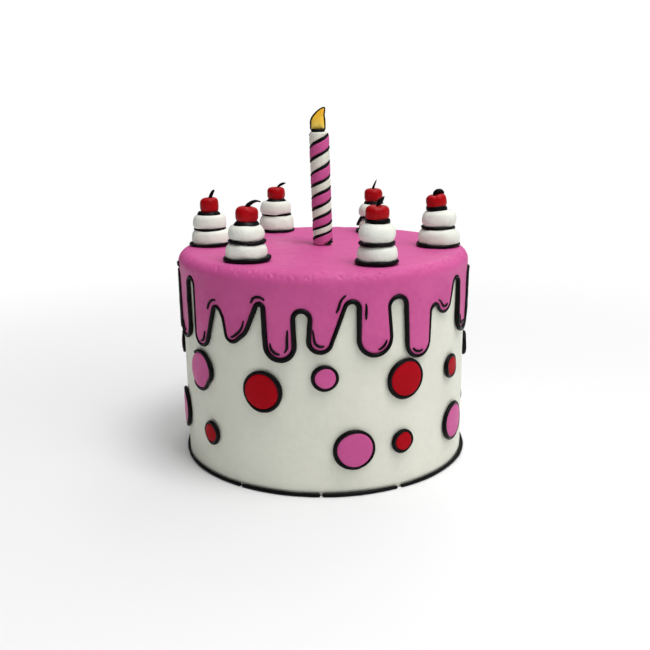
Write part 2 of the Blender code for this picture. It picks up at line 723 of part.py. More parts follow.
def strand(name, turn, material, collection):
    """One of the candle's two strands: its section carried up the candle and turned by the twist."""
    rings = []
    work = bmesh.new()
    for height in twist_heights():
        angle = twist(height) + turn - math.pi / 2
        ring = []
        for out, across in strand_section(height):
            x = out * math.cos(angle) - across * math.sin(angle)
            y = out * math.sin(angle) + across * math.cos(angle)
            ring.append(work.verts.new((x, y, height)))
        rings.append(ring)
    for low, high in zip(rings, rings[1:]):
        for index in range(len(low)):
            after = (index + 1) % len(low)
            work.faces.new((low[index], low[after], high[after], high[index]))
    work.faces.new(list(reversed(rings[0])))
    work.faces.new(rings[-1])
    mesh = bpy.data.meshes.new(name)
    bmesh.ops.triangulate(work, faces=work.faces)
    work.to_mesh(mesh)
    work.free()
    smooth(mesh)
    return add_object(name, mesh, material, collection)


def groove_rope(name, turn, material, collection):
    """A black rope that winds up the groove between the strands."""
    low, high = STRAND_ROPE * 1.1, CANDLE_HEIGHT - STRAND_ROPE * 1.1
    places = []
    for height in [low, *(step for step in twist_heights() if low * 1.2 < step < high * 0.995), high]:
        angle = twist(height) + turn
        places.append((GROOVE_ROPE_PLACE * math.sin(angle), -GROOVE_ROPE_PLACE * math.cos(angle), height))
    curve = rope_curve(name, places, [1.0] * len(places), STRAND_ROPE, resolution=0)
    return add_object(name, curve, material, collection)


def flame(material, collection):
    """The sugar flame: a ball drawn out to the flame's outline and flattened."""
    work = bmesh.new()
    count = len(FLAME_OUTLINE)
    bmesh.ops.create_uvsphere(work, u_segments=count, v_segments=6, radius=1.0)
    middle = Vector(FLAME_MIDDLE)
    for vertex in work.verts:
        reach = math.hypot(vertex.co.x, vertex.co.y)
        index = round(math.atan2(vertex.co.y, vertex.co.x) / (2 * math.pi / count)) % count
        spot = middle + (Vector(FLAME_OUTLINE[index]) - middle) * (reach if reach > 0.01 else 0.0)
        vertex.co = (spot.x, -vertex.co.z * FLAME_DEPTH, spot.y)
    mesh = bpy.data.meshes.new("candle_flame")
    work.to_mesh(mesh)
    work.free()
    smooth(mesh)
    return add_object("candle_flame", mesh, material, collection)


def flame_outline(material, collection):
    """The thin rope that runs up one side of the flame, over its point and down the other."""
    middle = Vector(FLAME_MIDDLE)
    order = [10, 11, *range(0, 9)]
    places = []
    for index in order:
        spot = Vector(FLAME_OUTLINE[index])
        spot += (spot - middle).normalized() * (FLAME_ROPE * 1.3 + GAP)
        places.append((spot.x, 0.0, spot.y))
    curve = rope_curve("candle_flame_outline", places, [1.0] * len(places), FLAME_ROPE, resolution=0)
    return add_object("candle_flame_outline", curve, material, collection)


def foot_line(material, collection):
    """The short rope laid part of the way round the candle's foot."""
    radius = STRAND_RADIUS + STRAND_ROPE * 1.2 + GAP
    places = []
    for step in range(FOOT_LINE_STEPS + 1):
        angle = FOOT_LINE_START + FOOT_LINE_SWEEP * step / FOOT_LINE_STEPS
        places.append((radius * math.sin(angle), -radius * math.cos(angle), FOOT_LINE_ROPE))
    radii = [ROPE_END, *[1.0] * (FOOT_LINE_STEPS - 1), ROPE_END]
    curve = rope_curve("candle_foot_line", places, radii, FOOT_LINE_ROPE, resolution=0)
    return add_object("candle_foot_line", curve, material, collection)


def build_candle(finishes, collection):
    """The twisted candle on its leaning stand."""
    rise = CAKE_HEIGHT + GAP + abs(math.sin(CANDLE_LEAN)) * (STRAND_RADIUS + 0.002)
    base = stand("candle", CANDLE_PLACE, rise, collection)
    base.rotation_euler = (0.0, CANDLE_LEAN, 0.0)
    body = [strand("candle_strand_pink", 0.0, finishes["pink"], collection),
            strand("candle_strand_white", math.pi, finishes["white"], collection),
            groove_rope("candle_line_1", math.pi / 2, finishes["rope"], collection),
            groove_rope("candle_line_2", -math.pi / 2, finishes["rope"], collection),
            foot_line(finishes["rope"], collection)]
    waist = COLLAR_RADIUS * COLLAR_WAIST
    ring = [(0.0, COLLAR_HEIGHT), (waist, COLLAR_HEIGHT), (COLLAR_RADIUS, COLLAR_HEIGHT / 2), (waist, 0.0),
            (0.0, 0.0)]
    collar = add_object("candle_collar", turned(ring, DOLLOP_SIDES, collection), finishes["rope"], collection)
    collar.location.z = CANDLE_HEIGHT + GAP
    light = [flame(finishes["flame"], collection), flame_outline(finishes["rope"], collection)]
    for piece in light:
        piece.location.z = CANDLE_HEIGHT + COLLAR_HEIGHT + 2 * GAP + FLAME_ROPE
    for piece in (*body, collar, *light):
        piece.parent = base


def main():
    """Builds the cake from the foot up."""
    clear_scene()
    cake = bpy.data.collections.new("birthday_cake")
    bpy.context.scene.collection.children.link(cake)
    white = finish("white_paste", (0.67, 0.67, 0.58), 0.55)
    pink = finish("pink_paste", (0.66, 0.11, 0.33), 0.45)
    red = finish("red_paste", (0.42, 0.008, 0.020), 0.40)
    rope = finish("black_paste", (0.012, 0.010, 0.010), 0.35)
    cream = finish("cream_paste", (0.80, 0.80, 0.72), 0.45)
    fruit_red = finish("fruit_red", (0.50, 0.008, 0.015), 0.30, 0.2)
    flame_gold = finish("flame_gold", (0.87, 0.42, 0.03), 0.35)
    turns = all_turns()
    cake_body(white, cake)
    pink_icing(turns, pink, cake)
    drip_outline(turns, rope, cake)
    for number, dot in enumerate(DOTS, 1):
        wall_dot(number, dot, pink if dot.finish == "pink" else red, cake)
    ends = [*BASE_SEAMS[1:], BASE_SEAMS[0] + 360.0]
    gaps = list(zip(BASE_GAPS, [*BASE_GAPS[1:], BASE_GAPS[0]]))
    for number, (seam, end, gap) in enumerate(zip(BASE_SEAMS, ends, gaps), 1):
        base_rope(number, seam, end, gap, rope, cake)
    for number, dollop in enumerate(DOLLOPS, 1):
        build_dollop(number, dollop, {"rope": rope, "cream": cream, "fruit": fruit_red}, cake)
    build_candle({"pink": pink, "white": white, "rope": rope, "flame": flame_gold}, cake)


main()
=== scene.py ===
"""The looks of a tall round birthday cake covered in sugar paste.

A white wall carries a pink icing that drips down from the top, edged by a hand-rolled black rope.
Rimmed discs stud the wall, six two-tiered cream dollops with a red fruit stand in a ring on top,
and a twisted candle with a sugar flame stands in the middle.

Metres, +Z up, the front towards -Y. Angles round the cake start at the front and grow towards +X.
"""
import logging
import math
import random
from dataclasses import dataclass, field
from enum import Enum
from typing import NamedTuple, Optional, Sequence

import bpy
import numpy as np
from mathutils import Matrix, Vector, geometry, noise


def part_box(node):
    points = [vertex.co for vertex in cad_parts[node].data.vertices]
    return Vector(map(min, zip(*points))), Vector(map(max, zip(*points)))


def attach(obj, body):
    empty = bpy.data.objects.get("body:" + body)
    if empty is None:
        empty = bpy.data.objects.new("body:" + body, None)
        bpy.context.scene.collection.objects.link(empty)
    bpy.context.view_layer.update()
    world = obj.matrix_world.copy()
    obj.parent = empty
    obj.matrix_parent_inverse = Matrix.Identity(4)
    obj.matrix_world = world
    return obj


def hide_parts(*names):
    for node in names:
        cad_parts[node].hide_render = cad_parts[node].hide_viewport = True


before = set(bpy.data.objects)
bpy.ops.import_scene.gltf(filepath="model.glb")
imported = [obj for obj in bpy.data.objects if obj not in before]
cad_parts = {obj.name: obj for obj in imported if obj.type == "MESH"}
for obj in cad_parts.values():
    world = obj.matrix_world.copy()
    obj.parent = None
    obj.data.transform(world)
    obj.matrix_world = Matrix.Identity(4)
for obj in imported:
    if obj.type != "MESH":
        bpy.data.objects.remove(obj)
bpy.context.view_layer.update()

LOG = logging.getLogger("birthday_cake")

Colour = tuple[float, float, float]
Flat = tuple[float, float]
Run = tuple[list[Vector], list[float], bool]
Tree = bpy.types.NodeTree
Node = bpy.types.Node
Socket = bpy.types.NodeSocket
Mesh = bpy.types.Mesh

# Cake
BODY_RADIUS = 0.1048
EDGE_ROUND = 0.0058
ICING_THICK = 0.0016
GAP = 0.0003
SKIN_GAP = 0.0006
BODY_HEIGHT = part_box("cake_body")[1].z
CAKE_HEIGHT = BODY_HEIGHT + SKIN_GAP + ICING_THICK
WALL_TOP = BODY_HEIGHT - EDGE_ROUND
EDGE_RUN = EDGE_ROUND * math.pi / 2
SHEET_REACH = WALL_TOP + EDGE_RUN + BODY_RADIUS - EDGE_ROUND
LINE_RADIUS = BODY_RADIUS + ICING_THICK
ONCE_ROUND = 2 * math.pi * LINE_RADIUS

# Drip line
TIP, CREST = 1, -1
BACK_DRIPS = 10
BACK_TIP = (0.092, 0.106)
BACK_CREST = (0.124, 0.140)
BACK_TIP_RADIUS = (0.0088, 0.0112)
BACK_CREST_RADIUS = (0.0042, 0.0062)
BACK_LINE = (0.0011, 0.0018)
BACK_TIP_SHARE = 0.4
BACK_CREST_SHARE = 0.25
BACK_TIP_STARTS = (-0.016, 0.001)
BACK_TIP_REACH = (0.012, 0.017)
SIDE_CREST = 0.1405

# Ropes
DOT_HEIGHT = 0.0030
DOT_ROPE = 0.00135
BASE_ROPE = 0.0013
BASE_SEAMS = (-33.0, -1.4, 28.5, 95.0, 155.0, 212.0, 270.0)
BASE_GAPS = (0.5, 0.8, 1.9, 0.7, 0.6, 0.8, 0.6)
LEFT_SIDE = math.radians(285.0)
END_SHARES = (0.08, 0.3, 0.65)

# Candle
CANDLE_PLACE = (-0.0001, 0.0055)
CANDLE_LEAN = math.radians(-1.6)
CANDLE_HEIGHT = 0.0820
LINES_CROSS_AT = (-0.0005, 0.0083, 0.0133, 0.0216, 0.0293, 0.0388, 0.0462, 0.0560, 0.0662, 0.0761)
STRAND_RADIUS = 0.0074
STRAND_ROPE = 0.00125
COLLAR_RADIUS = 0.0052
COLLAR_HEIGHT = 0.0024
FLAME_DEPTH = 0.0030
FLAME_ROPE = 0.0006

# Camera, from where the photograph was taken
CAMERA_PLACE = (0.0, -0.6385, 0.2569)
CAMERA_PITCH = 0.2534
CAMERA_YAW = 0.0014
CAMERA_ROLL = -0.0085
CAMERA_LENS = 47.86
CAMERA_SENSOR = 36.0


class Finish(Enum):
    """The sugar finishes; each value is the finish's slot in the part's record."""

    WHITE = "white_fondant"
    PINK = "pink_fondant"
    RED = "red_fondant"
    BLACK = "black_fondant"
    CREAM = "cream_fondant"
    FLAME = "golden_flame"
    FRUIT = "red_fruit"


class Turn(NamedTuple):
    """One rounded turn of the drip line: a drip's tip or the crest of a gap between drips."""

    bend: int
    angle: float
    height: float
    radius: float
    line: float
    run: float


FRONT_TURNS = (
    Turn(CREST, -59.4, 0.1405, 0.0050, 0.0013, 0.0010),
    Turn(TIP, -52.0, 0.0952, 0.0082, 0.0012, 0.0018),
    Turn(CREST, -42.3, 0.1252, 0.0033, 0.0014, 0.0012),
    Turn(CREST, -46.7, 0.1285, 0.0150, 0.0013, 0.0012),
    Turn(TIP, -34.9, 0.1033, 0.0056, 0.0013, 0.0015),
    Turn(TIP, -35.8, 0.1047, 0.0160, 0.0016, 0.0017),
    Turn(CREST, -22.9, 0.1312, 0.0027, 0.0017, 0.0018),
    Turn(TIP, -15.6, 0.0948, 0.0098, 0.0018, 0.0017),
    Turn(CREST, -7.7, 0.1281, 0.0055, 0.0016, 0.0017),
    Turn(TIP, -1.3, 0.1008, 0.0074, 0.0015, 0.0013),
    Turn(CREST, 9.7, 0.1338, 0.0047, 0.0016, 0.0019),
    Turn(TIP, 18.3, 0.0972, 0.0114, 0.0015, 0.0010),
    Turn(CREST, 26.9, 0.1347, 0.0063, 0.0015, 0.0019),
    Turn(TIP, 36.4, 0.0920, 0.0100, 0.0012, 0.0007),
    Turn(CREST, 44.3, 0.1250, 0.0042, 0.0014, 0.0013),
    Turn(TIP, 50.3, 0.1180, 0.0080, 0.0011, 0.0009),
    Turn(CREST, 58.7, 0.1395, 0.0048, 0.0012, 0.0018),
)
RIGHT_DRIP = Turn(TIP, 66.4, 0.0995, 0.0103, 0.0017, 0.0015)
LEFT_DRIP = Turn(TIP, 293.6, 0.0960, 0.0094, 0.0015, 0.0016)


class Accent(NamedTuple):
    """A thin black stroke beside the drip line, from start to end along it past a turn's middle."""

    turn: int
    start: float
    end: float
    insets: tuple[float, float, float]


FRONT_ACCENTS = (
    Accent(1, 0.0, 0.016, (0.0032, 0.0036, 0.0040)),
    Accent(2, -0.0060, 0.0010, (0.0050, 0.0050, 0.0044)),
    Accent(4, 0.001, 0.023, (0.0034, 0.0032, 0.0042)),
    Accent(6, -0.0038, 0.0014, (0.0036, 0.0048, 0.0038)),
    Accent(7, -0.017, 0.0, (0.0036, 0.0038, 0.0040)),
    Accent(7, 0.0057, 0.026, (0.0043, 0.0046, 0.0038)),
    Accent(9, -0.018, 0.0075, (0.0022, 0.0042, 0.0034)),
    Accent(10, -0.0122, -0.0030, (0.0042, 0.0038, 0.0052)),
    Accent(10, 0.005, 0.014, (0.0048, 0.0046, 0.0046)),
    Accent(11, 0.002, 0.015, (0.0035, 0.0036, 0.0036)),
    Accent(13, -0.011, 0.0044, (0.0036, 0.0034, 0.0036)),
    Accent(15, -0.0135, 0.0055, (0.0034, 0.0038, 0.0045)),
    Accent(17, -0.017, 0.008, (0.0044, 0.0042, 0.0048)),
)


class Dot(NamedTuple):
    """A rimmed disc on the wall: its finish, angle, height, width over the rim and lower dent."""

    finish: Finish
    angle: float
    height: float
    width: float
    dent: float = 0.0

    def dented(self, across: float, up: float) -> Flat:
        """Moves a spot in where the disc's lower side is dented.

        Args:
            across: How far right of the disc's middle it is.
            up: How far above it.

        Returns:
            The spot, from the disc's middle.
        """
        turn = math.atan2(up, across)
        share = 1.0 - self.dent * math.exp(-((turn + DENT_AT) / DENT_SPREAD) ** 2)
        return across * share, up * share


DENT_AT = math.radians(38.0)
DENT_SPREAD = math.radians(24.0)
DOTS = (
    Dot(Finish.PINK, -54.0, 0.0762, 0.0300, 0.15),
    Dot(Finish.RED, -22.9, 0.0719, 0.0290),
    Dot(Finish.PINK, 0.3, 0.0834, 0.0181),
    Dot(Finish.RED, 30.8, 0.0780, 0.0285),
    Dot(Finish.RED, 56.4, 0.0766, 0.0176),
    Dot(Finish.RED, -48.2, 0.0328, 0.0174),
    Dot(Finish.PINK, 10.7, 0.0330, 0.0286),
    Dot(Finish.RED, 29.7, 0.0342, 0.0172),
    Dot(Finish.PINK, 59.6, 0.0341, 0.0290),
    Dot(Finish.PINK, -75.5, 0.0370, 0.0300),
    Dot(Finish.PINK, 89.0, 0.0777, 0.0190),
    Dot(Finish.RED, 98.0, 0.0340, 0.0178),
    Dot(Finish.RED, 124.0, 0.0720, 0.0288),
    Dot(Finish.PINK, 136.0, 0.0320, 0.0292),
    Dot(Finish.PINK, 163.0, 0.0790, 0.0176),
    Dot(Finish.RED, 186.0, 0.0360, 0.0285),
    Dot(Finish.RED, 214.0, 0.0750, 0.0180),
    Dot(Finish.PINK, 272.0, 0.0810, 0.0175),
)
DOT_WORDS = {Finish.PINK: "pink", Finish.RED: "red"}

FLAME_MIDDLE = (-0.0006, 0.0058)
FLAME_OUTLINE = (
    (0.0040, 0.0051), (0.0037, 0.0080), (0.0042, 0.0105), (0.0044, 0.0131), (0.0029, 0.0128),
    (0.0007, 0.0116), (-0.0020, 0.0092), (-0.0043, 0.0064), (-0.0052, 0.0043), (-0.0053, 0.0017),
    (-0.0051, -0.0012), (-0.0006, -0.0021), (0.0037, -0.0016), (0.0041, 0.0014),
)
FLAME_TIP = 3


def smoothstep(low: float, high: float, value: float) -> float:
    """Returns 0 below low, 1 above high and an even rise between them."""
    share = min(max((value - low) / (high - low), 0.0), 1.0)
    return share * share * (3 - 2 * share)


def ripple(place: Vector, scale: float, seed: float = 0.0) -> float:
    """Returns smooth noise from -1 to 1 at a place; scale is in waves a metre."""
    return noise.noise(place * scale + Vector((seed, seed * 1.7, seed * 0.3)))


@dataclass(frozen=True)
class CakeSkin:
    """The covered cake's skin, by an angle round it and a rise up the wall and over the edge."""

    radius: float = BODY_RADIUS
    swell: float = 0.00022
    dimple: float = 0.00005

    def fullness(self, angle: float) -> float:
        """Returns how far off a true round the hand-shaped cake is at an angle, as a factor."""
        return 1.0 + 0.0020 * math.sin(2 * angle + 0.7) + 0.0011 * math.sin(5 * angle + 2.0)

    def point(self, angle: float, rise: float, lift: float) -> Vector:
        """Finds a point by the skin.

        Args:
            angle: Radians round the cake from the front.
            rise: How far up the wall, over the edge and in across the top.
            lift: How far off the skin.

        Returns:
            The point, with the skin's slow unevenness.
        """
        if rise <= WALL_TOP:
            out, up, lean = self.radius, rise, 0.0
        elif rise <= WALL_TOP + EDGE_RUN:
            lean = (rise - WALL_TOP) / EDGE_ROUND
            out = self.radius - EDGE_ROUND + EDGE_ROUND * math.cos(lean)
            up = WALL_TOP + EDGE_ROUND * math.sin(lean)
        else:
            out, up, lean = max(SHEET_REACH - rise, 0.0), BODY_HEIGHT, math.pi / 2
        out *= self.fullness(angle)
        spot = Vector((out * math.sin(angle), -out * math.cos(angle), up))
        away = Vector((math.cos(lean) * math.sin(angle), -math.cos(lean) * math.cos(angle), math.sin(lean)))
        uneven = self.swell * ripple(spot, 26.0) + self.dimple * ripple(spot, 110.0, 4.0)
        return spot + away * (lift + uneven)

    def laid(self, flat: Vector, lift: float) -> Vector:
        """Returns a point of the wall laid flat (across, up) put back round the cake."""
        return self.point(flat.x / LINE_RADIUS, flat.y, lift)


SKIN = CakeSkin()


def add_node(tree: Tree, kind: str, place: Flat, **settings: object) -> Node:
    """Adds a node and sets its options.

    Args:
        tree: The tree it goes in.
        kind: Its type name.
        place: Where it sits in the editor.
        **settings: Option names and their values.

    Returns:
        The node.
    """
    node = tree.nodes.new(kind)
    node.location = place
    for name, value in settings.items():
        setattr(node, name, value)
    return node


def feed(tree: Tree, node: Node, **inputs: object) -> Node:
    """Sets or links a node's inputs, named with underscores for spaces.

    Args:
        tree: The node's tree.
        node: The node.
        **inputs: Values, or sockets to link from. A name such as at_1 means the input of that number.

    Returns:
        The node.
    """
    for name, value in inputs.items():
        socket = node.inputs[int(name[3:]) if name.startswith("at_") else name.replace("_", " ")]
        if isinstance(value, Socket):
            tree.links.new(value, socket)
        else:
            socket.default_value = value
    return node


def maths(tree: Tree, operation: str, place: Flat, *values: object) -> Socket:
    """Adds a Math node.

    Args:
        tree: The tree it goes in.
        operation: What it works out.
        place: Where it sits in the editor.
        *values: Its inputs, numbers or sockets.

    Returns:
        Its output socket.
    """
    node = add_node(tree, "ShaderNodeMath", place, operation=operation)
    return feed(tree, node, **{f"at_{index}": value for index, value in enumerate(values)}).outputs[0]


def noise_in(tree: Tree, place: Flat, dimensions: str = "3D", **inputs: object) -> Socket:
    """Adds a Noise Texture node.

    Args:
        tree: The tree it goes in.
        place: Where it sits in the editor.
        dimensions: How many dimensions it runs over.
        **inputs: Its inputs.

    Returns:
        Its value's socket.
    """
    node = add_node(tree, "ShaderNodeTexNoise", place, noise_dimensions=dimensions)
    return feed(tree, node, **inputs).outputs["Fac"]


def ranged(tree: Tree, place: Flat, easing: str = "SMOOTHSTEP", **inputs: object) -> Socket:
    """Adds a Map Range node.

    Args:
        tree: The tree it goes in.
        place: Where it sits in the editor.
        easing: How it goes from one end of the range to the other.
        **inputs: Its inputs.

    Returns:
        Its output socket.
    """
    node = add_node(tree, "ShaderNodeMapRange", place, interpolation_type=easing)
    return feed(tree, node, **inputs).outputs["Result"]


def mixed(tree: Tree, place: Flat, share: Socket, first: object, second: object) -> Socket:
    """Adds a Mix node for two colours.

    Args:
        tree: The tree it goes in.
        place: Where it sits in the editor.
        share: How much of the second there is.
        first: The first colour or its socket.
        second: The second colour or its socket.

    Returns:
        Its output socket.
    """
    node = add_node(tree, "ShaderNodeMix", place, data_type="RGBA")
    return feed(tree, node, at_0=share, at_6=first, at_7=second).outputs[2]


def bumped(tree: Tree, height: Socket) -> Socket:
    """Returns the surface direction that a height in metres gives, from a Bump node."""
    node = add_node(tree, "ShaderNodeBump", (-300, -300))
    return feed(tree, node, Height=height, Strength=1.0, Distance=1.0).outputs["Normal"]


def grouped(tree: Tree, name: str, place: Flat, **inputs: object) -> Node:
    """Adds one of the shader groups below as a node.

    Args:
        tree: The tree it goes in.
        name: The group's name.
        place: Where it sits in the editor.
        **inputs: Its inputs.

    Returns:
        The node.
    """
    node = add_node(tree, "ShaderNodeGroup", place, node_tree=bpy.data.node_groups[name])
    return feed(tree, node, **inputs)


def new_group(name: str, inputs: dict[str, str], outputs: dict[str, str],
              kind: str = "ShaderNodeTree") -> Tree:
    """Makes an empty node group.

    Args:
        name: The group's name.
        inputs: Socket names and their types, such as Float.
        outputs: Socket names and their types.
        kind: The type of group.

    Returns:
        The group's tree, with its input and output nodes in place.
    """
    tree = bpy.data.node_groups.new(name, kind)
    for side, sockets in (("INPUT", inputs), ("OUTPUT", outputs)):
        for label, value in sockets.items():
            tree.interface.new_socket(name=label, in_out=side, socket_type="NodeSocket" + value)
    add_node(tree, "NodeGroupInput", (-900, 0), name="in")
    add_node(tree, "NodeGroupOutput", (800, 0), name="out")
    return tree


def new_material(name: str) -> tuple[bpy.types.Material, Tree, Node]:
    """Makes a material with a Principled BSDF node.

    Args:
        name: The material's name.

    Returns:
        The material, its tree and that node.
    """
    made = bpy.data.materials.new(name)
    made.use_nodes = True
    return made, made.node_tree, made.node_tree.nodes["Principled BSDF"]


def paste_mottle_group() -> Tree:
    """Builds the uneven colour of kneaded sugar paste.

    Returns:
        A group with Vector, Scale, Tone and Deep Tone in, Color and Mask out.
    """
    tree = new_group("paste_mottle", {"Vector": "Vector", "Scale": "Float", "Tone": "Color",
                                      "Deep Tone": "Color"}, {"Color": "Color", "Mask": "Float"})
    given, out = tree.nodes["in"].outputs, tree.nodes["out"]
    broad = noise_in(tree, (-400, 200), Vector=given["Vector"], Detail=3.0, Roughness=0.55,
                     Scale=given["Scale"])
    fine = noise_in(tree, (-400, -150), Vector=given["Vector"], Detail=4.0, Roughness=0.6,
                    Scale=maths(tree, "MULTIPLY", (-550, -200), given["Scale"], 9.0))
    both = maths(tree, "MULTIPLY_ADD", (-200, 0), fine, 0.35,
                 maths(tree, "MULTIPLY", (-300, 100), broad, 0.65))
    mask = ranged(tree, (0, 0), Value=both, From_Min=0.36, From_Max=0.64)
    feed(tree, out, Color=mixed(tree, (250, 0), mask, given["Tone"], given["Deep Tone"]), Mask=mask)
    return tree


def paste_grain_group() -> Tree:
    """Builds the fine grain and the soft hand marks in a paste's surface.

    Returns:
        A group with Vector, Grain Scale, Grain Depth, Mark Scale and Mark Depth in, Height out.
    """
    tree = new_group("paste_grain", {"Vector": "Vector", "Grain Scale": "Float", "Grain Depth": "Float",
                                     "Mark Scale": "Float", "Mark Depth": "Float"}, {"Height": "Float"})
    given, out = tree.nodes["in"].outputs, tree.nodes["out"]
    grain = noise_in(tree, (-350, 200), Vector=given["Vector"], Scale=given["Grain Scale"], Detail=2.0,
                     Roughness=0.5)
    marks = noise_in(tree, (-350, -150), Vector=given["Vector"], Scale=given["Mark Scale"], Detail=3.0,
                     Roughness=0.5, Distortion=0.6)
    deep = maths(tree, "MULTIPLY", (-100, 200), grain, given["Grain Depth"])
    feed(tree, out, Height=maths(tree, "MULTIPLY_ADD", (100, 0), marks, given["Mark Depth"], deep))
    return tree


def sugar_dust_group() -> Tree:
    """Builds specks of icing sugar that cling in patches.

    Returns:
        A group with Vector, Scale and Cover in, Mask out.
    """
    tree = new_group("sugar_dust", {"Vector": "Vector", "Scale": "Float", "Cover": "Float"},
                     {"Mask": "Float"})
    given, out = tree.nodes["in"].outputs, tree.nodes["out"]
    specks = noise_in(tree, (-350, 200), Vector=given["Vector"], Detail=2.0, Roughness=0.7,
                      Scale=given["Scale"])
    patches = noise_in(tree, (-350, -150), Vector=given["Vector"], Detail=2.0,
                       Scale=maths(tree, "MULTIPLY", (-500, -200), given["Scale"], 0.12))
    both = maths(tree, "MULTIPLY", (150, 0),
                 ranged(tree, (-100, 200), Value=specks, From_Min=0.60, From_Max=0.72),
                 ranged(tree, (-100, -150), Value=patches, From_Min=0.45, From_Max=0.65))
    feed(tree, out, Mask=maths(tree, "MULTIPLY", (350, 0), both, given["Cover"]))
    return tree


@dataclass(frozen=True)
class SugarPaste:
    """One sugar-paste finish: its two tones, its gloss and the grain of its surface."""

    slot: Finish
    tone: Colour
    deep_tone: Colour
    patch_scale: float = 30.0
    gloss: Flat = (0.42, 0.56)
    specular: float = 0.22
    coat: float = 0.0
    coat_roughness: float = 0.3
    grain_scale: float = 1400.0
    grain_depth: float = 0.00004
    mark_scale: float = 120.0
    mark_depth: float = 0.0003
    dust: float = 0.0
    dust_tone: Colour = (0.75, 0.73, 0.72)
    dust_scale: float = 900.0
    bounce: Optional[Colour] = None

    def material(self) -> bpy.types.Material:
        """Builds the finish's material.

        Returns:
            The material, named after its slot.
        """
        made, tree, shader = new_material(self.slot.value + "_paste")
        spot = add_node(tree, "ShaderNodeTexCoord", (-1200, 0)).outputs["Object"]
        mottle = grouped(tree, "paste_mottle", (-900, 300), Vector=spot, Scale=self.patch_scale,
                         Tone=(*self.tone, 1.0), Deep_Tone=(*self.deep_tone, 1.0)).outputs
        colour = mottle["Color"]
        if self.dust:
            dust = grouped(tree, "sugar_dust", (-900, 0), Vector=spot, Scale=self.dust_scale, Cover=self.dust)
            colour = mixed(tree, (-600, 200), dust.outputs["Mask"], colour, (*self.dust_tone, 1.0))
        if self.bounce:
            bounced = add_node(tree, "ShaderNodeLightPath", (-600, 500)).outputs["Is Diffuse Ray"]
            colour = mixed(tree, (-400, 400), bounced, colour, (*self.bounce, 1.0))
        grain = grouped(tree, "paste_grain", (-900, -300), Vector=spot, Grain_Scale=self.grain_scale,
                        Grain_Depth=self.grain_depth, Mark_Scale=self.mark_scale, Mark_Depth=self.mark_depth)
        rough = ranged(tree, (-600, 0), "LINEAR", Value=mottle["Mask"], To_Min=self.gloss[0],
                       To_Max=self.gloss[1])
        feed(tree, shader, Base_Color=colour, Roughness=rough, Normal=bumped(tree, grain.outputs["Height"]),
             Specular_IOR_Level=self.specular, Coat_Weight=self.coat, Coat_Roughness=self.coat_roughness)
        return made


@dataclass(frozen=True)
class FlameGlaze:
    """The sugar flame's hand-painted gold: paler at the foot, orange towards the point, brushed upwards."""

    slot: Finish = Finish.FLAME
    tones: tuple[tuple[float, Colour], ...] = (
        (0.15, (1.0, 0.70, 0.10)), (0.62, (1.0, 0.61, 0.040)), (0.95, (0.94, 0.47, 0.010)))
    foot: float = 0.239
    point: float = 0.251
    roughness: float = 0.38
    brush_scale: float = 900.0
    brush_depth: float = 0.0003

    def material(self) -> bpy.types.Material:
        """Builds the flame's material.

        Returns:
            The material, named after its slot.
        """
        made, tree, shader = new_material(self.slot.value + "_paste")
        spot = add_node(tree, "ShaderNodeTexCoord", (-1400, 0)).outputs["Object"]
        parts = feed(tree, add_node(tree, "ShaderNodeSeparateXYZ", (-1200, 200)), Vector=spot)
        up = ranged(tree, (-1000, 200), "LINEAR", Value=parts.outputs["Z"], From_Min=self.foot,
                    From_Max=self.point)
        stretched = feed(tree, add_node(tree, "ShaderNodeMapping", (-1200, -200)), Vector=spot,
                         Rotation=(0.0, 0.5, 0.0), Scale=(1.0, 1.0, 0.22))
        strokes = noise_in(tree, (-1000, -200), Vector=stretched.outputs["Vector"], Scale=self.brush_scale,
                           Detail=3.0, Roughness=0.6)
        mix = maths(tree, "MULTIPLY_ADD", (-800, 0), strokes, 0.9,
                    maths(tree, "MULTIPLY_ADD", (-900, 100), up, 0.9, -0.35))
        ramp = feed(tree, add_node(tree, "ShaderNodeValToRGB", (-600, 0)), Fac=mix)
        stops = ramp.color_ramp.elements
        for index, (place, tone) in enumerate(self.tones):
            stop = stops[index] if index < len(stops) else stops.new(place)
            stop.position, stop.color = place, (*tone, 1.0)
        height = maths(tree, "MULTIPLY", (-500, -300), strokes, self.brush_depth)
        feed(tree, shader, Base_Color=ramp.outputs["Color"], Normal=bumped(tree, height),
             Roughness=self.roughness)
        return made


PASTES = (
    SugarPaste(Finish.WHITE, (0.85, 0.86, 0.745), (0.80, 0.81, 0.70), patch_scale=22.0, gloss=(0.46, 0.60)),
    SugarPaste(Finish.PINK, (0.665, 0.108, 0.335), (0.60, 0.090, 0.300), patch_scale=26.0, gloss=(0.40, 0.54),
               mark_depth=0.0004, bounce=(0.66, 0.40, 0.48)),
    SugarPaste(Finish.RED, (0.44, 0.002, 0.010), (0.38, 0.002, 0.008), patch_scale=60.0, gloss=(0.38, 0.50),
               specular=0.05, dust=0.04),
    SugarPaste(Finish.BLACK, (0.0016, 0.0012, 0.0016), (0.0028, 0.0022, 0.0028), patch_scale=90.0,
               gloss=(0.28, 0.42), specular=0.10, grain_depth=0.00003, mark_scale=300.0, mark_depth=0.00012,
               dust=0.02, dust_tone=(0.12, 0.11, 0.12)),
    SugarPaste(Finish.CREAM, (0.87, 0.89, 0.805), (0.82, 0.84, 0.755), patch_scale=60.0, gloss=(0.38, 0.52),
               specular=0.28, mark_scale=160.0, mark_depth=0.0005),
    SugarPaste(Finish.FRUIT, (0.43, 0.002, 0.006), (0.34, 0.0015, 0.005), patch_scale=110.0,
               gloss=(0.30, 0.42), specular=0.10, coat=0.05, mark_scale=260.0),
)


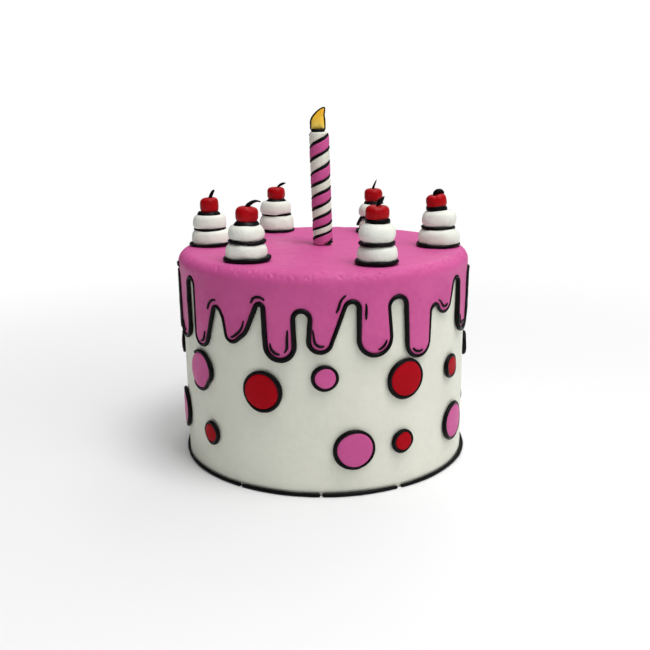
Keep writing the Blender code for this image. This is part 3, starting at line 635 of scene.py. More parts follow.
def placed(name: str, data: bpy.types.ID) -> bpy.types.Object:
    """Makes an object and puts it in the scene.

    Args:
        name: The object's name.
        data: Its mesh, curve, light or camera.

    Returns:
        The object.
    """
    made = bpy.data.objects.new(name, data)
    bpy.context.scene.collection.objects.link(made)
    return made


def grown(base: bpy.types.Object, tree: Tree, **inputs: object) -> Mesh:
    """Runs a Geometry Nodes tree on an object and takes the object away.

    Args:
        base: The object.
        tree: The tree.
        **inputs: The tree's inputs, named with underscores for spaces.

    Returns:
        The mesh that comes out.
    """
    nodes = base.modifiers.new("Nodes", "NODES")
    nodes.node_group = tree
    for item in tree.interface.items_tree:
        name = item.name.replace(" ", "_")
        if item.in_out == "INPUT" and name in inputs:
            nodes[item.identifier] = inputs[name]
    bpy.context.view_layer.update()
    mesh = bpy.data.meshes.new_from_object(base.evaluated_get(bpy.context.evaluated_depsgraph_get()))
    bpy.data.objects.remove(base)
    return mesh


def painted(tree: Tree, geometry: Socket) -> Tree:
    """Ends a Geometry Nodes tree: makes its copies real and gives them its Finish.

    Args:
        tree: The tree.
        geometry: What it has made.

    Returns:
        The tree.
    """
    real = feed(tree, add_node(tree, "GeometryNodeRealizeInstances", (420, 0)), Geometry=geometry)
    paint = feed(tree, add_node(tree, "GeometryNodeSetMaterial", (600, 0)), Geometry=real.outputs["Geometry"],
                 Material=tree.nodes["in"].outputs["Finish"])
    feed(tree, tree.nodes["out"], Geometry=paint.outputs["Geometry"])
    return tree


def rope_tree() -> Tree:
    """Builds a tree that rolls a rope along each curve: a tube, swollen a little by noise.

    Returns:
        The tree, with Geometry, Sides, Unevenness, Lump Scale, Seed and Finish in.
    """
    tree = new_group("hand_rolled_rope", {"Geometry": "Geometry", "Sides": "Int", "Unevenness": "Float",
                                          "Lump Scale": "Float", "Seed": "Float", "Finish": "Material"},
                     {"Geometry": "Geometry"}, "GeometryNodeTree")
    given = tree.nodes["in"].outputs
    ring = feed(tree, add_node(tree, "GeometryNodeCurvePrimitiveCircle", (-600, -200)),
                Resolution=given["Sides"], Radius=1.0)
    tube = feed(tree, add_node(tree, "GeometryNodeCurveToMesh", (-400, 0)), Curve=given["Geometry"],
                Profile_Curve=ring.outputs["Curve"], Fill_Caps=True,
                Scale=add_node(tree, "GeometryNodeInputRadius", (-600, -50)).outputs[0])
    lumps = noise_in(tree, (-400, -400), "4D", W=given["Seed"], Scale=given["Lump Scale"], Detail=1.0,
                     Vector=add_node(tree, "GeometryNodeInputPosition", (-600, -400)).outputs[0])
    size = maths(tree, "MULTIPLY", (-50, -300), maths(tree, "SUBTRACT", (-200, -400), lumps, 0.5),
                 given["Unevenness"])
    push = feed(tree, add_node(tree, "ShaderNodeVectorMath", (100, -300), operation="SCALE"), Scale=size,
                Vector=add_node(tree, "GeometryNodeInputNormal", (-50, -500)).outputs[0])
    shift = feed(tree, add_node(tree, "GeometryNodeSetPosition", (250, 0)), Geometry=tube.outputs["Mesh"],
                 Offset=push.outputs["Vector"])
    return painted(tree, shift.outputs["Geometry"])


class Rolling(NamedTuple):
    """How ropes are rolled: a seed, the swelling of their skin in metres, lumps a metre, faces round."""

    seed: float
    unevenness: float = 0.0003
    lump_scale: float = 160.0
    sides: int = 12


class Pantry:
    """Keeps the finishes, rolls the ropes and puts each finished piece on the cake."""

    def __init__(self) -> None:
        """Builds the shader groups, every finish and the rope tree."""
        for build in (paste_mottle_group, paste_grain_group, sugar_dust_group):
            build()
        self.materials = {paste.slot: paste.material() for paste in (*PASTES, FlameGlaze())}
        self.rope = rope_tree()

    def serve(self, name: str, mesh: Mesh, finish: Finish, *stands_for: str) -> None:
        """Makes a mesh a piece of the cake.

        Args:
            name: The piece's name.
            mesh: Its mesh, in place.
            finish: What it is made of.
            *stands_for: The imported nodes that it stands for.
        """
        mesh.materials.clear()
        mesh.materials.append(self.materials[finish])
        mesh.shade_smooth()
        piece = placed(name, mesh)
        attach(piece, "root")
        if stands_for:
            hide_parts(*stands_for)
        LOG.info("%s: %d faces in %s", name, len(mesh.polygons), finish.value)

    def roll(self, name: str, runs: Sequence[Run], rolling: Rolling, *stands_for: str) -> None:
        """Rolls black ropes and makes them one piece of the cake.

        Args:
            name: The piece's name.
            runs: Each rope's points, its radius at each, and whether it closes on itself.
            rolling: How they are rolled.
            *stands_for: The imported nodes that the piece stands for.
        """
        curve = bpy.data.curves.new("rope_path", "CURVE")
        curve.dimensions = "3D"
        for points, radii, closed in runs:
            spline = curve.splines.new("POLY")
            spline.points.add(len(points) - 1)
            for knot, place, radius in zip(spline.points, points, radii):
                knot.co = (*place, 1.0)
                knot.radius = radius
            spline.use_cyclic_u = closed
        mesh = grown(placed("rope_path", curve), self.rope, Finish=self.materials[Finish.BLACK],
                     Sides=rolling.sides, Unevenness=rolling.unevenness, Lump_Scale=rolling.lump_scale,
                     Seed=float(rolling.seed))
        bpy.data.curves.remove(curve)
        self.serve(name, mesh, Finish.BLACK, *stands_for)


def travelled(corners: Sequence[Vector]) -> list[float]:
    """Measures along a path.

    Args:
        corners: The path's corners.

    Returns:
        The distance to each corner.
    """
    travel = [0.0]
    for first, second in zip(corners, corners[1:]):
        travel.append(travel[-1] + (second - first).length)
    return travel


def sampled(corners: Sequence[Vector], sizes: Sequence[float], travel: Sequence[float],
            stops: Sequence[float]) -> tuple[list[Vector], list[float]]:
    """Reads a path at chosen distances along it.

    Args:
        corners: The path's corners.
        sizes: A size at each corner.
        travel: The distance to each corner.
        stops: The chosen distances, from the start on.

    Returns:
        The place and the size at each.
    """
    places, sized, index = [], [], 0
    for stop in stops:
        while index < len(travel) - 2 and travel[index + 1] < stop:
            index += 1
        share = (stop - travel[index]) / max(travel[index + 1] - travel[index], 1e-9)
        places.append(corners[index].lerp(corners[index + 1], share))
        sized.append(sizes[index] + (sizes[index + 1] - sizes[index]) * share)
    return places, sized


def along(points: Sequence[Vector], radii: Sequence[float], step: float, closed: bool = False) -> Run:
    """Spaces a path's points evenly, and rounds off the ends of an open one.

    Args:
        points: The path's corners.
        radii: The rope's radius at each.
        step: The distance wanted between points.
        closed: Whether the path closes on itself.

    Returns:
        The run, ready to roll.
    """
    corners, sizes = list(points), list(radii)
    if closed:
        corners.append(corners[0])
        sizes.append(sizes[0])
    travel = travelled(corners)
    count = max(4, round(travel[-1] / step))
    stops = [travel[-1] * index / count for index in range(count if closed else count + 1)]
    if closed:
        return *sampled(corners, sizes, travel, stops), True
    tips = [share * radii[0] for share in END_SHARES]
    stops = sorted({*stops, *tips, *[travel[-1] - tip for tip in tips]})
    places, sized = sampled(corners, sizes, travel, stops)
    for index, stop in enumerate(stops):
        reach = min(1.0, min(stop, travel[-1] - stop) / max(sized[index], 1e-6))
        sized[index] *= math.sqrt(max(1.0 - (1.0 - reach) ** 2, 0.02))
    return places, sized, False


def eased(before: Vector, start: Vector, end: Vector, after: Vector, share: float) -> Vector:
    """Finds a place on a smooth curve from start to end.

    Args:
        before: The corner before the start.
        start: Where the curve starts.
        end: Where it ends.
        after: The corner after the end.
        share: How far along, from 0 to 1.

    Returns:
        The place.
    """
    pull, push = (end - before) / 2, (after - start) / 2
    return (start * (2 * share ** 3 - 3 * share ** 2 + 1) + pull * (share ** 3 - 2 * share ** 2 + share)
            + end * (3 * share ** 2 - 2 * share ** 3) + push * (share ** 3 - share ** 2))


def fanned(name: str, points: Sequence[Vector], around: int) -> Mesh:
    """Joins a first point, rings of points and a last point into a closed mesh.

    Args:
        name: The mesh's name.
        points: The points in that order.
        around: Points in each ring.

    Returns:
        The mesh.
    """
    last, faces = len(points) - 1, []
    starts = range(1, last, around)
    for side in range(around):
        after = (side + 1) % around
        faces.append((0, 1 + side, 1 + after))
        for top, low in zip(starts, starts[1:]):
            faces.append((top + side, low + side, low + after, top + after))
        faces.append((starts[-1] + side, last, starts[-1] + after))
    mesh = bpy.data.meshes.new(name)
    mesh.from_pydata(points, [], faces)
    return mesh


def lathe(name: str, profile: Sequence[Flat], sides: int) -> Mesh:
    """Turns a profile about +Z.

    Args:
        name: The mesh's name.
        profile: (radius, height) from the top's middle down the outer side to the foot's middle.
        sides: Faces round it.

    Returns:
        A closed mesh whose faces point outwards.
    """
    points = [Vector((0.0, 0.0, profile[0][1]))]
    for radius, height in profile[1:-1]:
        for side in range(sides):
            angle = 2 * math.pi * side / sides
            points.append(Vector((radius * math.cos(angle), radius * math.sin(angle), height)))
    return fanned(name, [*points, Vector((0.0, 0.0, profile[-1][1]))], sides)


def turn_centre(turn: Turn) -> Vector:
    """Returns the centre of a turn's circle on the wall laid flat."""
    return Vector((math.radians(turn.angle) * LINE_RADIUS, turn.height + turn.bend * turn.radius))


def heading_between(first: Turn, second: Turn) -> float:
    """Finds how the line heads between two turns.

    Args:
        first: The turn that it leaves.
        second: The turn that it comes to.

    Returns:
        The direction of the straight run from one turn's circle to the next, in radians.
    """
    across = turn_centre(second) - turn_centre(first)
    reach = second.bend * second.radius - first.bend * first.radius
    return math.atan2(across.y, across.x) - math.asin(reach / across.length)


@dataclass
class DripLine:
    """The line along which the icing ends, on the wall laid flat."""

    chord: float = 0.0012
    turns: list[Turn] = field(default_factory=list)
    points: list[Vector] = field(default_factory=list)
    widths: list[float] = field(default_factory=list)
    middles: list[float] = field(default_factory=list)
    length: float = 0.0

    def __post_init__(self) -> None:
        """Works out the turns and the line through them."""
        self.turns = [*FRONT_TURNS, RIGHT_DRIP, *self.back_turns(), LEFT_DRIP]
        self.trace()

    def back_turns(self) -> list[Turn]:
        """Draws the turns on the side away from the front.

        Returns:
            Crests and drips of uneven width, evenly spread.
        """
        draw = random.Random(11)
        turns = []
        for index in range(2 * BACK_DRIPS + 1):
            bend = CREST if index % 2 == 0 else TIP
            heights = BACK_CREST if bend == CREST else BACK_TIP
            radii = BACK_CREST_RADIUS if bend == CREST else BACK_TIP_RADIUS
            turns.append(Turn(bend, 0.0, draw.uniform(*heights), draw.uniform(*radii),
                              draw.uniform(*BACK_LINE), draw.uniform(*BACK_LINE)))
        turns[0], turns[-1] = turns[0]._replace(height=SIDE_CREST), turns[-1]._replace(height=SIDE_CREST)
        chain = [RIGHT_DRIP, *turns, LEFT_DRIP]
        steps = [first.radius + second.radius for first, second in zip(chain, chain[1:])]
        share = (LEFT_DRIP.angle - RIGHT_DRIP.angle) / sum(steps)
        angle = RIGHT_DRIP.angle
        placed = []
        for turn, step in zip(turns, steps):
            angle += step * share
            placed.append(turn._replace(angle=angle))
        return placed

    def trace(self) -> None:
        """Follows the turns round the cake, spacing points evenly and noting each turn's middle."""
        corners, widths, marks = [], [], []
        before = self.turns[-1]._replace(angle=self.turns[-1].angle - 360.0)
        afters = [*self.turns[1:], self.turns[0]._replace(angle=self.turns[0].angle + 360.0)]
        for turn, after in zip(self.turns, afters):
            start = heading_between(before, turn)
            sweep = (turn.bend * (heading_between(turn, after) - start)) % (2 * math.pi)
            count = max(4, 2 * round(sweep * turn.radius / self.chord / 2))
            for step in range(count + 1):
                heading = start + turn.bend * sweep * step / count
                side = Vector((-math.sin(heading), math.cos(heading)))
                corners.append(turn_centre(turn) - side * turn.bend * turn.radius)
                away = abs(2 * step / count - 1)
                run = before.run if step * 2 < count else turn.run
                widths.append(turn.line + (run - turn.line) * away / 2)
            marks.append(len(corners) - 1 - count // 2)
            before = turn
        corners.append(corners[0] + Vector((ONCE_ROUND, 0.0)))
        widths.append(widths[0])
        travel = travelled(corners)
        self.length = travel[-1]
        count = round(self.length / self.chord)
        stops = [self.length * step / count for step in range(count)]
        self.points, self.widths = sampled(corners, widths, travel, stops)
        self.middles = [travel[mark] for mark in marks]

    def inward(self, index: int) -> Vector:
        """Finds the direction into the icing at a point of the line.

        Args:
            index: The point's number.

        Returns:
            The direction, on the wall laid flat.
        """
        count = len(self.points)
        before, after = self.points[index - 1].copy(), self.points[(index + 1) % count].copy()
        if index == 0:
            before.x -= ONCE_ROUND
        if index == count - 1:
            after.x += ONCE_ROUND
        heading = (after - before).normalized()
        return Vector((-heading.y, heading.x))

    def moved_in(self, insets: Sequence[float]) -> list[Vector]:
        """Returns the line moved into the icing by each point's own inset."""
        return [point + self.inward(index) * inset
                for index, (point, inset) in enumerate(zip(self.points, insets))]

    def at(self, travel: float, inset: float) -> Vector:
        """Finds a flat point by the line.

        Args:
            travel: The distance along the line.
            inset: How far it is moved into the icing.

        Returns:
            The point.
        """
        count = len(self.points)
        place = travel / self.length * count
        index = round(place) % count
        inward = self.inward(index)
        step = Vector((inward.y, -inward.x)) * (place - round(place)) * self.length / count
        return self.points[index] + step + inward * inset


class CoveredCake:
    """The white sugar-paste wall and what it covers."""

    sides: int = 288
    wall_step: float = 0.003
    foot_round: float = 0.0012

    def build(self, pantry: Pantry) -> None:
        """Makes the covered cake.

        Args:
            pantry: Finishes and serves it.
        """
        rows = [(0.0, BODY_HEIGHT)]
        rises = [SHEET_REACH - radius for radius in (0.02, 0.05, 0.08, 0.092)]
        rises += [WALL_TOP + EDGE_RUN * step / 8 for step in range(8, 0, -1)]
        count = round(WALL_TOP / self.wall_step)
        rises += [WALL_TOP - (WALL_TOP - self.foot_round) * step / count for step in range(count + 1)]
        rows += [(1.0, rise) for rise in rises]
        rows += [(1.0, 0.0), (1.0, -1.0), (0.0, 0.0)]
        mesh = lathe("covered_cake", rows, self.sides)
        heights = [*rises, 0.0, -1.0]
        for ring, rise in enumerate(heights):
            for side in range(self.sides):
                vertex = mesh.vertices[1 + ring * self.sides + side]
                angle = math.atan2(vertex.co.x, -vertex.co.y)
                if rise > 0.0:
                    vertex.co = SKIN.point(angle, rise, 0.0)
                else:
                    out = SKIN.point(angle, self.foot_round, 0.0).xy.to_3d()
                    vertex.co = out * (0.985 if rise == 0.0 else 0.5)
        pantry.serve("covered_cake", mesh, Finish.WHITE, "cake_body")


class DrippingIcing:
    """The pink icing over the top, its black rope and the thin black strokes beside it."""

    edge: tuple[Flat, ...] = ((0.0, 0.50), (0.0004, 0.80), (0.0010, 0.97), (0.0020, 1.0))
    tuck: float = 0.75
    wall_step: float = 0.0022
    rim_step: float = 0.00075
    top_step: float = 0.0028
    margin: float = 0.0013
    rim_below: float = 0.006
    rim_above: float = 0.014
    pimple: float = 0.0008
    crown_place: float = WALL_TOP + EDGE_RUN * 0.62
    crown_width: float = 0.0034
    patch_scale: float = 60.0
    pit_scale: float = 470.0
    grit_scale: float = 620.0

    def __init__(self, line: DripLine) -> None:
        """Keeps the line that the icing ends on."""
        self.line = line

    def pimples(self, spot: Vector, angle: float, rise: float) -> float:
        """Works out the small wrinkles along the rounded edge.

        Args:
            spot: The point on the icing.
            angle: Its angle round the cake.
            rise: Its rise along the skin.

        Returns:
            How far the surface lifts or sinks there.
        """
        crown = math.exp(-((rise - self.crown_place) / self.crown_width) ** 2)
        side = 0.45 + 0.55 * smoothstep(-0.5, 0.6, math.sin(angle + 0.5))
        patch = smoothstep(-0.65, 0.05, ripple(spot, self.patch_scale, 9.0))
        pits = smoothstep(0.16, 0.40, ripple(spot, self.pit_scale, 2.0))
        return self.pimple * crown * side * patch * (0.5 * ripple(spot, self.grit_scale, 7.0) - pits)

    def grid(self, edge: np.ndarray) -> list[Flat]:
        """Spreads points inside the icing.

        Args:
            edge: The flat outline that they keep clear of.

        Returns:
            Their angles and rises.
        """
        spots = []
        rise = min(point[1] for point in edge) + self.margin
        while rise < SHEET_REACH - 0.004:
            on_wall = rise < WALL_TOP - self.rim_below
            near_rim = not on_wall and rise < WALL_TOP + EDGE_RUN + self.rim_above
            step = self.wall_step if on_wall else self.rim_step if near_rim else self.top_step
            around = 2 * math.pi * min(BODY_RADIUS, SHEET_REACH - rise)
            count = max(8, round(around / step))
            angles = [2 * math.pi * index / count for index in range(count)]
            if on_wall or rise < SIDE_CREST + 0.006:
                angles = [angle for angle, clear in zip(angles, self.clear(angles, rise, edge)) if clear]
            spots += [(angle, rise) for angle in angles]
            rise += step
        spots.append((0.0, SHEET_REACH))
        return spots

    def clear(self, angles: Sequence[float], rise: float, edge: np.ndarray) -> np.ndarray:
        """Tells which points of a row lie inside the icing and clear of its edge.

        Args:
            angles: The row's angles.
            rise: The row's rise.
            edge: The flat outline.

        Returns:
            True for each point to keep.
        """
        across = np.array(angles) * LINE_RADIUS
        keep = np.ones(len(angles), bool)
        crossings = np.zeros(len(angles), int)
        after = np.roll(edge, -1, axis=0).copy()
        after[-1, 0] += ONCE_ROUND
        for shift in (-ONCE_ROUND, 0.0, ONCE_ROUND):
            low, high = edge + (shift, 0.0), after + (shift, 0.0)
            gap = np.hypot(across[:, None] - low[None, :, 0], rise - low[None, :, 1]).min(axis=1)
            keep &= gap > self.margin
            between = (low[None, :, 0] > across[:, None]) != (high[None, :, 0] > across[:, None])
            span = np.where(np.abs(high[:, 0] - low[:, 0]) < 1e-12, 1e-12, high[:, 0] - low[:, 0])
            level = low[:, 1] + (across[:, None] - low[None, :, 0]) / span * (high[:, 1] - low[:, 1])
            crossings += (between & (level > rise)).sum(axis=1)
        return keep & (crossings % 2 == 0)

    def sheet(self) -> Mesh:
        """Rolls out the icing, cuts it along the drip line and folds it over the cake.

        Returns:
            A closed sheet with a softly rounded edge.
        """
        places, lifts = [], []
        inner: list[Vector] = []
        for inset, share in self.edge:
            inner = self.line.moved_in([width * self.tuck + inset for width in self.line.widths])
            places += [(point.x / LINE_RADIUS, point.y) for point in inner]
            lifts += [share] * len(inner)
        count = len(self.line.points)
        edge = np.array([(point.x, point.y) for point in inner])
        for spot in self.grid(edge):
            places.append(spot)
            lifts.append(1.0)
        flat = []
        for angle, rise in places:
            reach = SHEET_REACH - rise
            flat.append(Vector((reach * math.sin(angle), -reach * math.cos(angle))))
        rim = [(index, (index + 1) % count) for index in range(count)]
        _, _, faces, origins, _, _ = geometry.delaunay_2d_cdt(flat, rim, [], 1, 1e-7)
        order = [origin[0] for origin in origins]
        upper, lower = [], []
        for index in order:
            angle, rise = places[index]
            spot = SKIN.point(angle, rise, SKIN_GAP)
            lift = SKIN_GAP + ICING_THICK * lifts[index] + self.pimples(spot, angle, rise)
            upper.append(SKIN.point(angle, rise, lift))
            lower.append(SKIN.point(angle, rise, GAP / 3))
        size = len(order)
        where = {old: new for new, old in enumerate(order)}
        both = [tuple(face) for face in faces]
        both += [tuple(index + size for index in reversed(face)) for face in faces]
        for first, second in rim:
            a, b = where[first], where[second]
            both.append((b, a, a + size, b + size))
        mesh = bpy.data.meshes.new("icing_sheet")
        mesh.from_pydata(upper + lower, [], both)
        return mesh

    def accents(self) -> list[Accent]:
        """Gathers the strokes, with a few more on the side away from the front.

        Returns:
            All the strokes.
        """
        draw = random.Random(5)
        strokes = list(FRONT_ACCENTS)
        for index in range(len(FRONT_TURNS) + 1, len(self.line.turns), 2):
            crest, tip = index, index + 1
            if draw.random() < BACK_CREST_SHARE:
                strokes.append(Accent(crest, -0.005, 0.003, (0.0048, 0.0050, 0.0040)))
            if tip < len(self.line.turns) and draw.random() < BACK_TIP_SHARE:
                start = draw.choice(BACK_TIP_STARTS)
                end = start + draw.uniform(*BACK_TIP_REACH)
                strokes.append(Accent(tip, start, end, (0.0037, 0.0040, 0.0040)))
        return strokes

    def stroke(self, accent: Accent, steps: int = 12, thick: float = 0.00095) -> Run:
        """Lays one thin tapered stroke on the icing.

        Args:
            accent: Where it runs.
            steps: Points along it.
            thick: Its radius at the middle.

        Returns:
            The run, ready to roll.
        """
        points, radii = [], []
        near, middle, far = accent.insets
        for step in range(steps + 1):
            share = step / steps
            travel = self.line.middles[accent.turn] + accent.start + (accent.end - accent.start) * share
            inset = near + (far - near) * share + (middle - (near + far) / 2) * math.sin(math.pi * share)
            flat = self.line.at(travel, inset)
            points.append(SKIN.laid(flat, SKIN_GAP + ICING_THICK + thick * 0.25))
            radii.append(thick * (0.50 + 0.50 * math.sin(math.pi * share) ** 0.7))
        return along(points, radii, 0.0007)

    def build(self, pantry: Pantry) -> None:
        """Makes the icing, its rope and its strokes.

        Args:
            pantry: Finishes and serves them.
        """
        pantry.serve("icing_sheet", self.sheet(), Finish.PINK, "pink_icing")
        points, widths = self.line.points, self.line.widths
        places = [SKIN.laid(point, GAP + width) for point, width in zip(points, widths)]
        pantry.roll("drip_rope", [(places, widths, True)], Rolling(1.0, 0.0005, 130.0), "drip_outline")
        strokes = [self.stroke(accent) for accent in self.accents()]
        pantry.roll("icing_strokes", strokes, Rolling(2.0, sides=10))


class WallDots:
    """The rimmed discs pressed on the wall."""

    disc_rings: tuple[Flat, ...] = (
        (0.25, 1.0), (0.5, 0.995), (0.7, 0.985), (0.84, 0.965), (0.91, 0.94), (0.95, 0.90), (0.98, 0.82),
        (1.0, 0.68), (1.0, 0.3), (0.985, 0.05))
    disc_sides: int = 72
    rim_points: int = 96

    def stud_tree(self) -> Tree:
        """Builds a tree that sets one disc at each of a set of points, sized and turned by attributes.

        Returns:
            The tree, with Geometry, Disc and Finish in.
        """
        tree = new_group("discs_on_points", {"Geometry": "Geometry", "Disc": "Object", "Finish": "Material"},
                         {"Geometry": "Geometry"}, "GeometryNodeTree")
        given = tree.nodes["in"].outputs
        disc = feed(tree, add_node(tree, "GeometryNodeObjectInfo", (-450, -200)), Object=given["Disc"])
        read = []
        for name, row in (("size", -400), ("turn", -550)):
            node = add_node(tree, "GeometryNodeInputNamedAttribute", (-450, row), data_type="FLOAT_VECTOR")
            read.append(feed(tree, node, Name=name).outputs["Attribute"])
        size, turn = read
        spin = feed(tree, add_node(tree, "FunctionNodeEulerToRotation", (-250, -550)), Euler=turn)
        copies = feed(tree, add_node(tree, "GeometryNodeInstanceOnPoints", (-100, 0)), Scale=size,
                      Points=given["Geometry"], Instance=disc.outputs["Geometry"],
                      Rotation=spin.outputs["Rotation"])
        return painted(tree, copies.outputs["Instances"])

    def disc(self) -> bpy.types.Object:
        """Makes one disc a metre across and a metre thick, to be scaled, with a soft edge.

        Returns:
            The disc as a loose object.
        """
        profile = [(0.0, 1.0), *self.disc_rings, (0.0, 0.05)]
        mesh = lathe("disc", profile, self.disc_sides)
        for vertex in mesh.vertices:
            angle = math.atan2(vertex.co.y, vertex.co.x)
            uneven = 1.0 + 0.010 * math.sin(2 * angle + 0.4) + 0.006 * math.sin(3 * angle + 1.9)
            vertex.co.x *= uneven / 2
            vertex.co.y *= uneven / 2
        mesh.shade_smooth()
        return placed("disc", mesh)

    def wrap(self, mesh: Mesh) -> None:
        """Bends a mesh on the wall laid flat round the cake, in place.

        Args:
            mesh: The mesh, whose points are across, up and out.
        """
        dents = [(dot, math.radians(dot.angle) * BODY_RADIUS) for dot in DOTS if dot.dent]
        for vertex in mesh.vertices:
            across, up, out = vertex.co
            for dot, middle in dents:
                if math.hypot(across - middle, up - dot.height) < dot.width / 2:
                    moved = dot.dented(across - middle, up - dot.height)
                    across, up = middle + moved[0], dot.height + moved[1]
            vertex.co = SKIN.point(across / BODY_RADIUS, up, out)
        mesh.update()

    def discs(self, finish: Finish, disc: bpy.types.Object, tree: Tree, material: bpy.types.Material) -> Mesh:
        """Sets the discs of one finish on the wall.

        Args:
            finish: Which discs.
            disc: The disc to copy.
            tree: The tree that copies it.
            material: The discs' material.

        Returns:
            The discs' mesh, bent on to the wall.
        """
        draw = random.Random(3)
        chosen = [dot for dot in DOTS if dot.finish == finish]
        spots = bpy.data.meshes.new("disc_points")
        places = [(math.radians(dot.angle) * BODY_RADIUS, dot.height, 0.0) for dot in chosen]
        spots.from_pydata(places, [], [])
        sizes = spots.attributes.new("size", "FLOAT_VECTOR", "POINT")
        turns = spots.attributes.new("turn", "FLOAT_VECTOR", "POINT")
        for index, dot in enumerate(chosen):
            across = dot.width - 3.2 * DOT_ROPE
            sizes.data[index].vector = (across, across * draw.uniform(0.985, 1.01), DOT_HEIGHT)
            turns.data[index].vector = (0.0, 0.0, draw.uniform(0.0, 2 * math.pi))
        mesh = grown(placed("disc_points", spots), tree, Disc=disc, Finish=material)
        self.wrap(mesh)
        return mesh

    def rim(self, number: int, dot: Dot) -> Run:
        """Lays the rope round one disc.

        Args:
            number: The dot's number.
            dot: The dot.

        Returns:
            The run: closed, except on the first dot, whose rope stops short at its far side.
        """
        draw = random.Random(number)
        phase, spread = draw.uniform(0.0, 2 * math.pi), draw.uniform(0.006, 0.014)
        ring = dot.width / 2 - DOT_ROPE
        thick_side = 0.0 if dot.angle < 0 else math.pi
        open_rim = number == 1
        first, last = (math.radians(-138.0), math.radians(128.0)) if open_rim else (0.0, 2 * math.pi)
        count = self.rim_points
        points, radii = [], []
        for step in range(count + 1 if open_rim else count):
            turn = first + (last - first) * step / count
            reach = ring * (1.0 + spread * math.sin(2 * turn + phase))
            thick = DOT_ROPE * (1.0 + 0.20 * math.cos(turn - thick_side) + 0.08 * math.sin(3 * turn + phase))
            across, up = dot.dented(reach * math.cos(turn), reach * math.sin(turn))
            angle = math.radians(dot.angle) + across / BODY_RADIUS
            points.append(SKIN.point(angle, dot.height + up, GAP + thick))
            radii.append(thick)
        return along(points, radii, 0.0006, closed=not open_rim)

    def build(self, pantry: Pantry) -> None:
        """Makes the discs and their rims.

        Args:
            pantry: Finishes and serves them.
        """
        disc, tree = self.disc(), self.stud_tree()
        for finish in (Finish.PINK, Finish.RED):
            word = DOT_WORDS[finish]
            nodes = [f"dot_{word}_{number}" for number, dot in enumerate(DOTS, 1) if dot.finish == finish]
            mesh = self.discs(finish, disc, tree, pantry.materials[finish])
            pantry.serve(f"{word}_discs", mesh, finish, *nodes)
        bpy.data.objects.remove(disc)
        pantry.roll("disc_rims", [self.rim(number, dot) for number, dot in enumerate(DOTS, 1)], Rolling(5.0))


class FootRopes:
    """The lengths of rope laid round the cake's foot."""

    steps: int = 60
    step: float = 0.0012

    def build(self, pantry: Pantry) -> None:
        """Makes each length.

        Args:
            pantry: Finishes and serves them.
        """
        ends = [*BASE_SEAMS[1:], BASE_SEAMS[0] + 360.0]
        gaps = [*BASE_GAPS[1:], BASE_GAPS[0]]
        for number, seam in enumerate(BASE_SEAMS, 1):
            start = math.radians(seam + BASE_GAPS[number - 1] * 0.4)
            end = math.radians(ends[number - 1] - gaps[number - 1] * 0.4)
            points, radii = [], []
            for step in range(self.steps + 1):
                angle = start + (end - start) * step / self.steps
                waves = 0.10 * math.sin(3.1 * angle + number), 0.06 * math.sin(11 * angle)
                thick = BASE_ROPE * (0.98 + waves[0] + waves[1])
                thick *= 1.0 - 0.28 * math.exp(-((angle - LEFT_SIDE) / 0.30) ** 2)
                thick = min(thick, BASE_ROPE * 1.06)
                points.append(SKIN.point(angle, thick, GAP / 2 + thick))
                radii.append(thick)
            run = along(points, radii, self.step)
            pantry.roll(f"foot_rope_{number}", [run], Rolling(10.0 + number, 0.0004), f"base_rope_{number}")


class Tier(NamedTuple):
    """A cream tier: its width, how far right it sits, how round its side is, its top's lean rightwards."""

    width: float
    shift: float = 0.0
    roundness: float = 0.50
    lean: float = 0.0


class Cord(NamedTuple):
    """A rope round a dollop: its width, radius, place, slant, curl at its right, drop at its left, lift."""

    width: float
    thick: float
    shift: float = 0.0
    slant: float = 0.0
    curl: float = 0.0
    drop: float = 0.0
    raised: float = 0.0


class Seat(NamedTuple):
    """The black seat under a fruit: its foot's width, its height, how far right it sits and its flare."""

    width: float
    tall: float
    shift: float = 0.0
    flare: float = 0.0012


class Fruit(NamedTuple):
    """A fruit: its width, place, tilt in degrees, cleft, the cleft's place, taper and its top's slope."""

    width: float
    shift: float = 0.0
    tilt: float = 0.0
    cleft: float = 0.0
    cleft_place: float = 0.0
    taper: float = 0.10
    slope: float = 0.0


